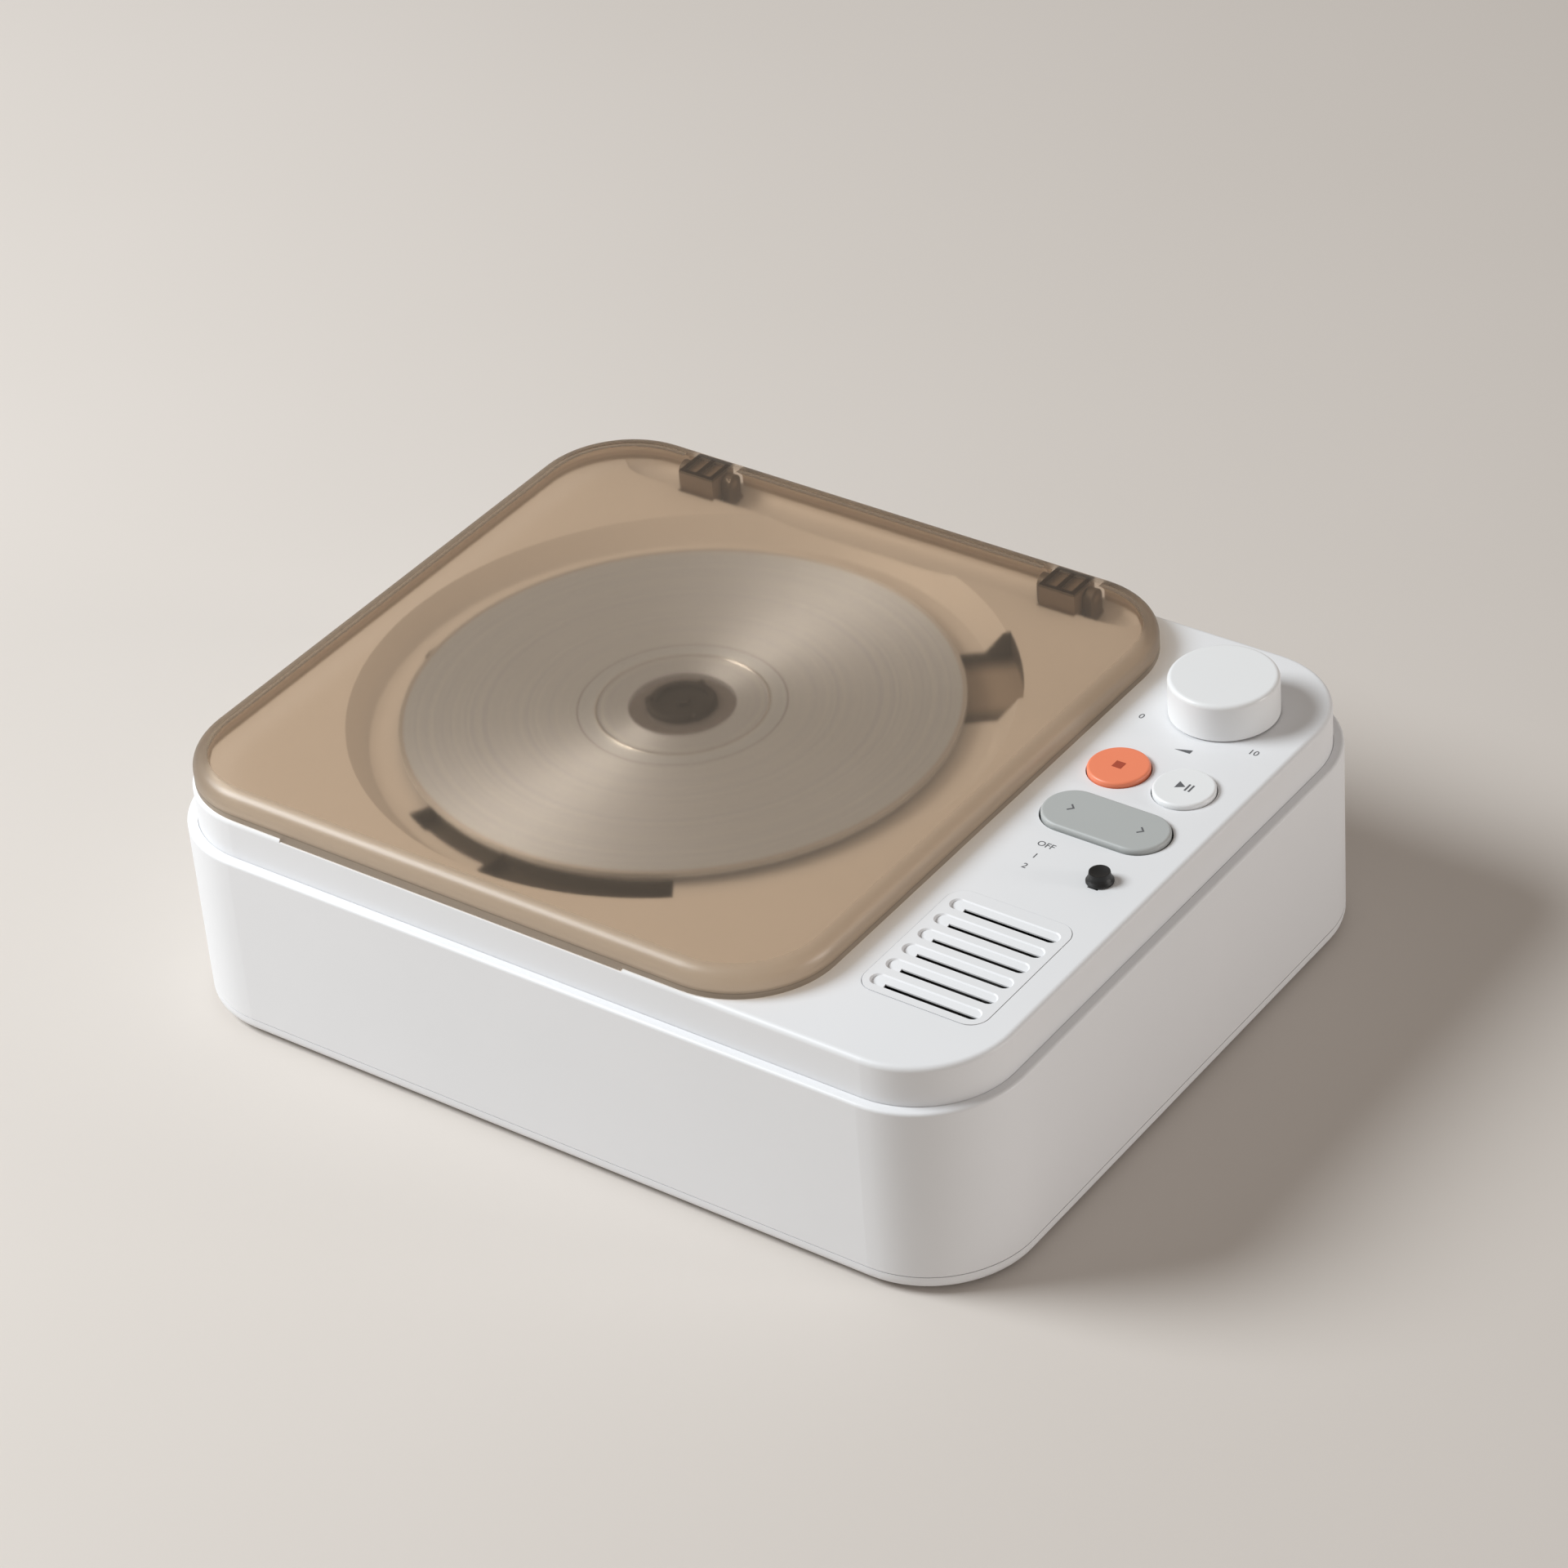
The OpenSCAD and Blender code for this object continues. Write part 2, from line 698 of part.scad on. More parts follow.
module lower_case() color("white") {
  difference() {
    around(body_w, body_d, corner_r) tub_profile();
    rod_y(audio_x, body_hd - tub_wall - cut, body_hd + cut, socket_z, audio_nose_r + case_fit);
    rod_y(power_x, body_hd - tub_wall - cut, body_hd + cut, socket_z, power_nose_r + case_fit);
  }
}

// ---------------------------------------------------------------- deck

module deck_profile() {
  difference() {
    union() {
      translate([0, deck_under]) square([top_r, deck_t]);
      translate([top_r - skirt_t, skirt_z]) square([skirt_t, deck_top - skirt_z]);
    }
    round_over(top_r, deck_top, deck_edge_r);
  }
}

// Part of a ring between two radii, two heights and two directions
module sector(r0, r1, z0, z1, a0, a1) {
  rotate([0, 0, a0]) rotate_extrude(angle = a1 - a0) translate([r0, z0]) square([r1 - r0, z1 - z0]);
}

module notch_shape(grow, z0, z1) {
  intersection() {
    translate([0, 0, z0]) cylinder(r = notch_r + grow, h = z1 - z0, $fn = 128);
    rotate([0, 0, notch_angle]) {
      box([relief_in_r - grow, notch_r + 9], [-notch_w / 2 - grow, notch_w / 2 + grow], [z0, z1]);
    }
  }
}

module well_body() {
  rotate_extrude($fn = 128) polygon([
    [0, well_under],
    [well_floor_r + well_wall - well_t, well_under],
    [well_top_r + well_wall, deck_under],
    [well_top_r + well_wall, deck_top],
    [0, deck_top]
  ]);
  notch_shape(relief_floor_t, deck_top - notch_depth - relief_floor_t, deck_under + 1);
  sector(relief_in_r - relief_floor_t, pocket_r + relief_floor_t,
         deck_top - pocket_depth - relief_floor_t, well_floor, 241, 306);
}

module well_cuts() {
  slope = (well_top_r - well_floor_r) / well_depth;
  rotate_extrude($fn = 128) polygon([
    [0, well_floor],
    [well_floor_r, well_floor],
    [well_top_r + slope * cut, deck_top + cut],
    [0, deck_top + cut]
  ]);
  notch_shape(0, deck_top - notch_depth, deck_top + cut);
  sector(relief_in_r, pocket_r, deck_top - pocket_depth, well_floor + cut, 266, 304);
  sector(relief_in_r, small_pocket_r, deck_top - pocket_depth, well_floor + cut, 243, 250);
  sector(relief_in_r + 0.5, small_pocket_r - 0.5, deck_top - bridge_depth, well_floor + cut, 249, 267);
  translate([0, 0, well_under - cut]) cylinder(r = spindle_hole_r, h = well_t + 2 * cut);
  translate([-(window_in + window_out) / 2, 0, well_under - cut]) {
    linear_extrude(well_t + 2 * cut) round_rect(window_out - window_in, window_w, 3);
  }
}

// Thick strip of the deck that the hinge groove is sunk into
module hinge_beam() {
  intersection() {
    box([lid_x0, lid_x1],
        [hinge_y - groove_r - groove_wall, top_hd - skirt_t / 2],
        [hinge_z - groove_r - groove_wall, deck_under + 1]);
    linear_extrude(deck_top) round_rect(2 * top_hw - skirt_t, 2 * top_hd - skirt_t, top_r - skirt_t / 2);
  }
}

// How far the lid's outline lies behind the hinge line, x from the start of a corner
function behind_hinge(x) = sqrt(pow(lid_corner_r, 2) - x * x) - lid_corner_r + hinge_in;

// Reach of a point on the lid's rounded edge, if the swing takes it below the deck's surface
function swept(y, z) =
  norm([y, z]) * sin(lid_swing - atan2(z, y)) > hinge_z - deck_top - swing_gap ? norm([y, z]) : 0;

function groove_radius(x) = groove_gap + max(concat(
  [norm([behind_hinge(x), hinge_z - lid_z0])],
  [for (a = [0 : 15 : 60])
    swept(behind_hinge(x) - lid_edge_r * (1 - cos(a)), hinge_in - lid_edge_r * (1 - sin(a)))]
));

// Groove that the lid's rear edge swings down into; it narrows where the lid's corners curve away
module hinge_groove() {
  end = sqrt(pow(lid_corner_r, 2) - pow(lid_corner_r - hinge_in, 2));
  steps = 12;
  x_left = lid_x0 + lid_corner_r;
  x_right = lid_x1 - lid_corner_r;
  translate([0, hinge_y, hinge_z]) rotate([0, 90, 0]) rotate_extrude() polygon(concat(
    [[0, x_left - end]],
    [for (i = [steps : -1 : 0]) [groove_radius(end * i / steps), x_left - end * i / steps]],
    [for (i = [0 : steps]) [groove_radius(end * i / steps), x_right + end * i / steps]],
    [[0, x_right + end]]
  ));
}

module hinge_cuts() {
  hinge_groove();
  for (x = hinge_x) {
    box([x - lug_w / 2 - swing_gap, x + lug_w / 2 + swing_gap],
        [lug_front - 3 * swing_gap, hinge_y],
        [hinge_z - lug_drop - swing_gap, deck_top + cut]);
  }
}

module hinge_ears() {
  for (x = hinge_x, s = [-1, 1]) {
    x0 = s > 0 ? x + ear_in : x - ear_out;
    difference() {
      union() {
        rod_x(x0, x0 + ear_t, hinge_y, hinge_z, ear_r);
        box([x0, x0 + ear_t], [hinge_y - ear_r, hinge_y + ear_r], [hinge_z - groove_r - 1, hinge_z]);
      }
      rod_x(x0 - cut, x0 + ear_t + cut, hinge_y, hinge_z, hinge_pin_r + hold_fit);
    }
  }
}

module control_holes() {
  for (x = button_x) {
    translate([x, button_y, deck_under - cut]) cylinder(r = button_r + button_gap, h = deck_t + 2 * cut);
  }
  translate([strip_x, rocker_y, deck_under - cut]) linear_extrude(deck_t + 2 * cut) pill(rocker_gap);
  translate([strip_x, knob_y, deck_under - cut]) cylinder(r = pot_shaft_r + 0.6, h = deck_t + 2 * cut);
  box([mode_x - mode_slot_w, mode_x + mode_slot_w], [mode_y - mode_slot_l, mode_y + mode_slot_l],
      [deck_under - cut, deck_top + cut]);
}

module pill(grow) {
  for (x = [-rocker_dx, rocker_dx]) {
    translate([x, 0]) circle(rocker_end_r + grow);
  }
  square([2 * rocker_dx, 2 * (rocker_end_r + grow)], center = true);
}

module rocker_ears() {
  near = rocker_end_r + rocker_gap + rocker_ear_gap;
  for (y0 = [rocker_y + near, rocker_y - near - 2]) {
    difference() {
      box([strip_x - rocker_rib_w, strip_x + rocker_rib_w],
          [y0, y0 + 2],
          [rocker_pivot_z - 2, deck_under + 0.5]);
      rod_y(strip_x, y0 - cut, y0 + 2 + cut, rocker_pivot_z, rocker_pin_r + hold_fit);
    }
  }
}

module speaker_cuts() {
  translate([strip_x, grille_y, grille_seat]) {
    linear_extrude(grille_t + cut) {
      round_rect(grille_w + 2 * case_fit, grille_d + 2 * case_fit, grille_corner_r + case_fit);
    }
  }
  translate([strip_x, grille_y, deck_under - cut]) {
    linear_extrude(deck_t + 2 * cut) round_rect(speaker_hole_w, speaker_hole_d, 3);
  }
}

module top_case() color("white") {
  rebate_x0 = lid_x0 + front_lip_x - swing_gap;
  difference() {
    union() {
      around(2 * top_hw, 2 * top_hd, top_r) deck_profile();
      middle(2 * top_hw, 2 * top_hd, top_r, deck_under, deck_top);
      at_well() well_body();
      hinge_beam();
      at_corners(post_x, post_y) translate([0, 0, post_z]) cylinder(r = post_r, h = deck_under + 1 - post_z);
      for (p = control_boss_xy) {
        translate([strip_x + p[0], p[1], board_top]) cylinder(r = control_boss_r, h = control_room + 0.5);
      }
      at_speaker_bosses() translate([0, 0, deck_under - speaker_boss_h]) {
        cylinder(r = 2, h = speaker_boss_h + 0.5);
      }
      at_drive() for (p = damper_uv) {
        translate([p[0], p[1], damper_boss_z]) {
          cylinder(r = damper_boss_r, h = well_under + 1 - damper_boss_z);
        }
      }
    }
    at_well() well_cuts();
    hinge_cuts();
    control_holes();
    speaker_cuts();
    box([rebate_x0, rebate_x0 + front_lip_l + 2 * swing_gap], [-top_hd - cut, -lid_hd + lid_wall + swing_gap],
        [lid_z0 - front_lip_drop - swing_gap, deck_top + cut]);
    at_corners(post_x, post_y) translate([0, 0, post_z - cut]) {
      cylinder(r = case_screw_r + hold_fit, h = case_screw_l + cut);
    }
    for (p = control_boss_xy) {
      translate([strip_x + p[0], p[1], board_top - cut]) cylinder(r = board_screw_r + hold_fit, h = 6);
    }
    at_speaker_bosses() translate([0, 0, deck_under - speaker_boss_h - cut]) {
      cylinder(r = 0.9 + hold_fit, h = 4);
    }
    at_drive() for (p = damper_uv) {
      translate([p[0], p[1], damper_boss_z - cut]) cylinder(r = damper_screw_r + hold_fit, h = 4);
    }
  }
  hinge_ears();
  rocker_ears();
}

// ---------------------------------------------------------------- lid and hinge

module lid_profile() {
  difference() {
    translate([0, lid_z0]) square([lid_corner_r, lid_h]);
    round_over(lid_corner_r, lid_z1, lid_edge_r);
    difference() {
      translate([-cut, lid_z0 - cut]) square([lid_corner_r - lid_wall + cut, lid_inside_z - lid_z0 + cut]);
      round_over(lid_corner_r - lid_wall, lid_inside_z, lid_inner_edge_r);
    }
  }
}

module lid() color([0.62, 0.48, 0.36, 0.55]) {
  notch = ear_out + swing_gap;
  lip_x0 = lid_x0 + front_lip_x;
  difference() {
    union() {
      translate([lid_cx, 0, 0]) {
        around(lid_w, 2 * lid_hd, lid_corner_r) lid_profile();
        middle(lid_w, 2 * lid_hd, lid_corner_r, lid_inside_z, lid_z1);
      }
      box([lip_x0, lip_x0 + front_lip_l],
          [-lid_hd, -lid_hd + lid_wall],
          [lid_z0 - front_lip_drop, lid_z0 + 1]);
    }
    for (x = hinge_x) {
      box([x - notch, x + notch], [hinge_y - 1, lid_hd + cut], [lid_z0 - cut, lid_inside_z]);
    }
  }
}

module lid_hinge_lugs() color("saddlebrown") {
  rib = 1.2;
  end_wall = 1;
  bay = (lug_w - 3 * rib) / 2;
  bay_z = lid_inside_z - 0.9;
  for (x = hinge_x) {
    difference() {
      box([x - lug_w / 2, x + lug_w / 2], [lug_front, lug_rear], [hinge_z - lug_drop, lid_inside_z]);
      for (bay_x = [x - rib / 2 - bay, x + rib / 2]) {
        box([bay_x, bay_x + bay], [lug_front + end_wall, lug_rear - end_wall], [bay_z, lid_inside_z + cut]);
      }
      rod_x(x - lug_w, x + lug_w, hinge_y, hinge_z, hinge_pin_r + run_fit);
    }
  }
}

module hinge_pins() color("silver") {
  for (x = hinge_x) {
    rod_x(x - ear_out, x + ear_out, hinge_y, hinge_z, hinge_pin_r);
  }
}

// ---------------------------------------------------------------- disc and spindle

module disc() color("gainsboro") {
  at_well() rotate_extrude($fn = 128) {
    translate([disc_hole_r, disc_under]) square([disc_r - disc_hole_r, disc_t]);
    translate([16.8, disc_under - 0.15]) square([0.8, 0.3]);
  }
}

module turntable() color("gray") {
  at_well() rotate_extrude() {
    translate([spindle_r + 0.01, disc_under - flange_t]) square([flange_r - spindle_r - 0.01, flange_t]);
    translate([spindle_r + 0.01, chassis_top + 1]) {
      square([sleeve_r - spindle_r - 0.01, disc_under - chassis_top - 1.5]);
    }
  }
}

module disc_hub() color([0.2, 0.19, 0.2]) {
  hub_r = disc_hole_r - hub_fit;
  hub_top = disc_top + hub_rise;
  at_well() difference() {
    rotate_extrude() difference() {
      translate([0, disc_under]) square([hub_r, hub_top - disc_under]);
      round_over(hub_r, hub_top, 0.8);
      translate([1.6, hub_top - 1]) square([hub_r - 3.4, 2]);
    }
    hub_ball_copies() sphere(r = ball_r + hold_fit);
  }
}

module hub_ball_copies() {
  for (a = [90, 210, 330]) {
    rotate([0, 0, a]) translate([disc_hole_r - 0.6, 0, disc_top + 0.9 * ball_r]) children();
  }
}

module hub_balls() color("silver") {
  at_well() hub_ball_copies() sphere(r = ball_r);
}

module spindle_shaft() color("silver") {
  at_well() translate([0, 0, chassis_under - spindle_motor_h + 1.5]) {
    cylinder(r = spindle_r, h = disc_under - chassis_under + spindle_motor_h - 1.5);
  }
}

module spindle_motor() color("silver") {
  z0 = chassis_under - spindle_motor_h;
  at_well() difference() {
    rotate_extrude() difference() {
      translate([0, z0]) square([spindle_motor_r, spindle_motor_h]);
      translate([0, 2 * z0]) mirror([0, 1]) round_over(spindle_motor_r, z0, 1);
    }
    translate([0, 0, z0 + 1]) cylinder(r = spindle_r + run_fit, h = spindle_motor_h);
  }
}

// ---------------------------------------------------------------- pickup drive

module mech_chassis() color([0.25, 0.25, 0.27]) {
  window_u = [lens_in - sled_l / 2 - 1.5, lens_in + sled_travel + sled_l / 2 + 1.5];
  at_drive() {
    difference() {
      union() {
        box(chassis_u, chassis_v, [chassis_under, chassis_top]);
        for (s = [-1, 1], e = [0, 1]) {
          u0 = e == 0 ? rod_u[0] - 1 : rod_u[1] + 0.5 - rod_block_l;
          box([u0, u0 + rod_block_l], [s * rod_v - rod_block_w, s * rod_v + rod_block_w],
              [rod_z - 2.4, chassis_under + 0.5]);
        }
        for (s = [0, 1]) {
          box(chassis_u,
              [chassis_v[s] - s * 1.6, chassis_v[s] + (1 - s) * 1.6],
              [chassis_under - 2, chassis_under + 0.5]);
        }
      }
      box(window_u, [-sled_block_v - 1, sled_block_v + 1], [chassis_under - cut, chassis_top + cut]);
      for (p = damper_uv) {
        translate([p[0], p[1], chassis_under - cut]) cylinder(r = damper_hole_r, h = chassis_t + 2 * cut);
      }
      translate([0, 0, chassis_under - cut]) cylinder(r = spindle_r + 1, h = chassis_t + 2 * cut);
      translate([gear_u, motor_v, chassis_under - cut]) {
        cylinder(r = motor_shaft_r + 0.6, h = chassis_t + 2 * cut);
      }
      for (s = [-1, 1]) {
        rod_x(rod_u[0], rod_u[1], s * rod_v, rod_z, rod_r + hold_fit);
      }
    }
    translate([gear_u, gear_v, chassis_top - 0.5]) cylinder(r = gear_post_r + 0.8, h = gear_seat + 0.5);
    translate([gear_u, gear_v, chassis_top - 0.5]) {
      cylinder(r = gear_post_r, h = sled_top - chassis_top + 0.5);
    }
  }
}

module mech_dampers() color([0.15, 0.15, 0.16]) {
  at_drive() for (p = damper_uv) translate([p[0], p[1], 0]) difference() {
    rotate_extrude() {
      translate([0, chassis_top]) square([damper_r, damper_boss_z - chassis_top]);
      translate([0, chassis_under]) square([damper_hole_r, chassis_t]);
      translate([0, chassis_under - damper_flange_t]) square([damper_r, damper_flange_t]);
    }
    translate([0, 0, chassis_under - 4]) cylinder(r = damper_screw_r + 0.1, h = 12);
  }
}

module damper_screws() color("silver") {
  head_z = chassis_under - damper_flange_t;
  at_drive() for (p = damper_uv) translate([p[0], p[1], 0]) {
    translate([0, 0, head_z - 1.5]) cylinder(r = 3, h = 1.5);
    translate([0, 0, head_z]) cylinder(r = damper_screw_r, h = damper_boss_z - head_z + 2.5);
  }
}

module guide_rods() color("silver") {
  at_drive() for (s = [-1, 1]) {
    rod_x(rod_u[0], rod_u[1], s * rod_v, rod_z, rod_r);
  }
}

module pickup_sled() color([0.2, 0.2, 0.22]) {
  u0 = lens_in - sled_l / 2;
  at_drive() difference() {
    union() {
      box([u0, u0 + sled_l], [-sled_half_w, sled_half_w], [sled_bar_under, sled_bar_top]);
      box([u0, u0 + sled_l], [-sled_block_v, sled_block_v], [sled_bar_under, sled_top]);
    }
    for (s = [-1, 1]) {
      rod_x(u0 - cut, u0 + sled_l + cut, s * rod_v, rod_z, rod_r + run_fit);
      box([u0 - cut, u0 + sled_l + cut], [s * 10.5 - 3.5, s * 10.5 + 3.5], [sled_bar_under - cut, rod_z]);
    }
    translate([lens_in, 0, lens_seat_z]) cylinder(r = lens_holder_r + lens_gap, h = 3);
  }
}

module sled_rack() color("ivory") {
  tooth_half = pitch / 4 - backlash / 4;
  tip_half = tooth_half - gear_module * 0.8 * tan(20);
  root_half = tooth_half + gear_module * 1.2 * tan(20);
  tip_v = rack_v - gear_module * 0.8;
  root_v = rack_v + gear_module * 1.2;
  tooth = [[-root_half, root_v], [-tip_half, tip_v], [tip_half, tip_v], [root_half, root_v]];
  first = ceil((rack_u[0] + 1 - gear_u) / pitch);
  last = floor((rack_u[1] - 1 - gear_u) / pitch) - 1;
  points = concat(
    [[rack_u[0], rack_back_v], [rack_u[0], root_v]],
    [for (k = [first : last], q = tooth) [gear_u + (k + 0.5) * pitch + q[0], q[1]]],
    [[rack_u[1], root_v], [rack_u[1], rack_back_v]]
  );
  at_drive() translate([0, 0, rack_z]) linear_extrude(rack_t) polygon(points);
}

module lens_holder() color([0.12, 0.12, 0.13]) {
  at_drive() translate([lens_in, 0, lens_holder_z]) difference() {
    cylinder(r = lens_holder_r, h = lens_holder_h);
    translate([0, 0, lens_holder_h - 1.2]) cylinder(r = lens_r + hold_fit, h = 1.2 + cut);
    translate([0, 0, -cut]) cylinder(r = lens_r - 0.5, h = lens_holder_h + 2 * cut);
  }
}

module pickup_lens() color("lightblue") {
  at_drive() translate([lens_in, 0, lens_holder_z + lens_holder_h - 1.2]) rotate_extrude() intersection() {
    translate([0, -3]) circle(4.1);
    square([lens_r, 2]);
  }
}

// Involute gear outline with its first tooth on the x axis
function involute_angle(a) = tan(a) * 180 / PI - a;
function flank_angle(r, rb, half) = half + involute_angle(20) - (r > rb ? involute_angle(acos(rb / r)) : 0);
function gear_outline(teeth, m, play, steps = 4) =
  let (
    rp = m * teeth / 2,
    rb = rp * cos(20),
    ra = rp + 0.8 * m,
    rf = rp - 1.2 * m,
    half = 90 / teeth - play / 4 / rp * 180 / PI,
    radii = concat([rf], [for (i = [0 : steps]) max(rb, rf) + (ra - max(rb, rf)) * i / steps]),
    last = len(radii) - 1
  )
  [for (k = [0 : teeth - 1], j = [0 : 2 * last + 1])
    let (
      up = j <= last,
      r = up ? radii[j] : radii[2 * last + 1 - j],
      a = k * 360 / teeth + (up ? -1 : 1) * flank_angle(r, rb, half)
    )
    [r * cos(a), r * sin(a)]];

module gear(teeth, h) {
  linear_extrude(h) polygon(gear_outline(teeth, gear_module, backlash));
}

module drive_gear() color("ivory") {
  at_drive() translate([gear_u, gear_v, 0]) difference() {
    union() {
      translate([0, 0, wheel_z]) gear(wheel_teeth, wheel_t);
      translate([0, 0, wheel_z + wheel_t]) gear(pinion_teeth, pinion_t);
    }
    translate([0, 0, wheel_z - cut]) cylinder(r = gear_post_r + run_fit, h = wheel_t + pinion_t + 2 * cut);
  }
}

module gear_clip() color("silver") {
  at_drive() translate([gear_u, gear_v, 0]) pipe(2, gear_post_r, rack_z + rack_t + 0.1, sled_top);
}

module motor_pinion() color("ivory") {
  at_drive() translate([gear_u, motor_v, 0]) difference() {
    translate([0, 0, wheel_z]) gear(motor_teeth, wheel_t);
    translate([0, 0, wheel_z - cut]) cylinder(r = motor_shaft_r + 0.01, h = wheel_t + 2 * cut);
  }
}

module sled_motor_shaft() color("silver") {
  z0 = chassis_under - sled_motor_h + 1.5;
  at_drive() translate([gear_u, motor_v, z0]) cylinder(r = motor_shaft_r, h = wheel_z + wheel_t + 0.3 - z0);
}

module sled_motor() color("silver") {
  z0 = chassis_under - sled_motor_h;
  at_drive() translate([gear_u, motor_v, 0]) difference() {
    translate([0, 0, z0]) cylinder(r = sled_motor_r, h = sled_motor_h);
    translate([0, 0, z0 + 1]) cylinder(r = motor_shaft_r + run_fit, h = sled_motor_h);
  }
}

// ---------------------------------------------------------------- controls

module volume_knob() color("white") {
  knob_top_t = 1.8;
  sleeve = pot_shaft_r + 1.6;
  translate([strip_x, knob_y, 0]) rotate_extrude($fn = 96) {
    difference() {
      translate([0, knob_z]) square([knob_r, knob_h]);
      round_over(knob_r, knob_z + knob_h, 1);
      translate([sleeve, knob_z - cut]) square([knob_r - knob_wall - sleeve, knob_h - knob_top_t + cut]);
      translate([-cut, knob_z - cut]) square([pot_shaft_r + 0.03 + cut, pot_shaft_z1 - knob_z + cut]);
    }
  }
}

module pot_shaft() color("silver") {
  translate([strip_x, knob_y, pot_shaft_z0]) cylinder(r = pot_shaft_r, h = pot_shaft_z1 - pot_shaft_z0);
}

module volume_pot() color("steelblue") {
  translate([strip_x, knob_y, 0]) difference() {
    union() {
      translate([0, 0, board_top]) cylinder(r = pot_r, h = pot_h - 1.6);
      translate([0, 0, board_top]) cylinder(r = pot_shaft_r + 1.6, h = pot_h);
    }
    translate([0, 0, board_top + 1.3]) cylinder(r = pot_shaft_r + run_fit, h = pot_h);
  }
}

module push_button(x) {
  translate([x, button_y, 0]) rotate_extrude() difference() {
    union() {
      translate([0, button_flange_z]) square([button_r, button_top - button_flange_z]);
      translate([0, button_flange_z]) square([button_r + 0.7, button_flange_t]);
      translate([0, dome_top]) square([button_stem_r, button_flange_z - dome_top]);
    }
    round_over(button_r, button_top, 0.6);
  }
}

module stop_button() color("coral") push_button(button_x[0]);

module play_button() color("white") push_button(button_x[1]);

module dome(x, y, r0, r1, h) {
  translate([x, y, board_top]) cylinder(r1 = r0, r2 = r1, h = h);
}

module button_dome(x) dome(x, button_y, dome_r, button_stem_r, dome_top - board_top);

module stop_dome() color("ghostwhite") button_dome(button_x[0]);

module play_dome() color("ghostwhite") button_dome(button_x[1]);

module skip_rocker() color("darkgray") {
  translate([strip_x, rocker_y, 0]) difference() {
    union() {
      capsule(rocker_dx) pill_profile();
      box([-rocker_rib_w, rocker_rib_w], [-rocker_end_r - rocker_gap, rocker_end_r + rocker_gap],
          [rocker_pivot_z - 1.7, rocker_under + 0.5]);
      for (x = [-rocker_foot_dx, rocker_foot_dx]) {
        translate([x, 0, board_top + rocker_dome_h + rocker_foot_gap]) {
          cylinder(r = 1.5, h = rocker_under - board_top - rocker_dome_h);
        }
      }
    }
    rod_y(0, -20, 20, rocker_pivot_z, rocker_pin_r + run_fit);
  }
}

// Long shape with round ends: one profile turned at both ends and drawn along the sides
module capsule(half_run) {
  for (turn = [0, 180]) rotate([0, 0, turn]) {
    translate([half_run, 0, 0]) rotate([0, 0, -90]) rotate_extrude(angle = 180) children();
    translate([-half_run, 0, 0]) rotate([90, 0, 90]) linear_extrude(2 * half_run) children();
  }
}

module pill_profile() {
  difference() {
    translate([0, rocker_under]) square([rocker_end_r, button_top - rocker_under]);
    round_over(rocker_end_r, button_top, 0.6);
  }
}

module rocker_pin() color("silver") {
  reach = rocker_end_r + rocker_gap + rocker_ear_gap + 2;
  rod_y(strip_x, rocker_y - reach, rocker_y + reach, rocker_pivot_z, rocker_pin_r);
}

module rocker_domes() color("ghostwhite") {
  for (x = [-rocker_foot_dx, rocker_foot_dx]) {
    dome(strip_x + x, rocker_y, 3, 1.6, rocker_dome_h);
  }
}

module mode_knob() color([0.1, 0.1, 0.1]) {
  z0 = deck_top + 0.15;
  z1 = deck_top + mode_h;
  flare = mode_r - mode_top_r;
  dish = 0.35;
  dish_r = (pow(mode_top_r - 0.2, 2) + dish * dish) / (2 * dish);
  translate([mode_x, mode_y, 0]) {
    rotate_extrude() difference() {
      polygon([[0, z0], [mode_r, z0], [mode_r, z0 + 0.35], [mode_top_r + 0.5 * flare, z0 + 0.85],
               [mode_top_r + 0.2 * flare, z0 + 1.45], [mode_top_r, z1], [0, z1]]);
      translate([0, z1 + dish_r - dish]) circle(dish_r);
    }
    box([-mode_stem, mode_stem], [-mode_stem, mode_stem], [board_top + 1.4, z0 + 0.3]);
  }
}

module mode_switch() color([0.2, 0.2, 0.2]) {
  reach = mode_stem + mode_travel;
  translate([mode_x, mode_y, 0]) difference() {
    box([-2.4, 2.4], [-reach - 1.4, reach + 1.4], [board_top, board_top + mode_switch_h]);
    box([-mode_slot_w, mode_slot_w],
        [-reach - 0.2, reach + 0.2],
        [board_top + 1, board_top + mode_switch_h + cut]);
  }
}

module control_board() color("darkgreen") {
  difference() {
    box(control_x, control_y, [board_under, board_top]);
    box([control_cut[0], control_x[1] + cut],
        [control_cut[1], control_y[1] + cut],
        [board_under - cut, board_top + cut]);
    for (p = control_boss_xy) {
      translate([strip_x + p[0], p[1], board_under - cut]) {
        cylinder(r = board_screw_r + 0.2, h = board_t + 2 * cut);
      }
    }
  }
}

module board_screw(up) {
  head = board_screw_head_h;
  translate([0, 0, up ? 0 : -head]) cylinder(r = board_screw_head_r, h = head);
  translate([0, 0, up ? -4.5 : 0]) cylinder(r = board_screw_r, h = 4.5);
}

module board_screws() color("silver") {
  for (p = control_boss_xy) {
    translate([strip_x + p[0], p[1], board_under]) board_screw(false);
  }
  for (x = [-main_hole_dx, main_hole_dx], y = main_hole_y) {
    translate([main_x + x, y, main_top]) board_screw(true);
  }
}

// ---------------------------------------------------------------- loudspeaker

module speaker_grille() color("white") {
  translate([strip_x, grille_y, grille_seat]) difference() {
    linear_extrude(grille_t) round_rect(grille_w, grille_d, grille_corner_r);
    for (k = [0 : slot_count - 1]) {
      translate([0, (k - (slot_count - 1) / 2) * slot_pitch - slot_shift, 0]) {
        capsule((slot_l - slot_w) / 2) slot_profile();
      }
    }
  }
}

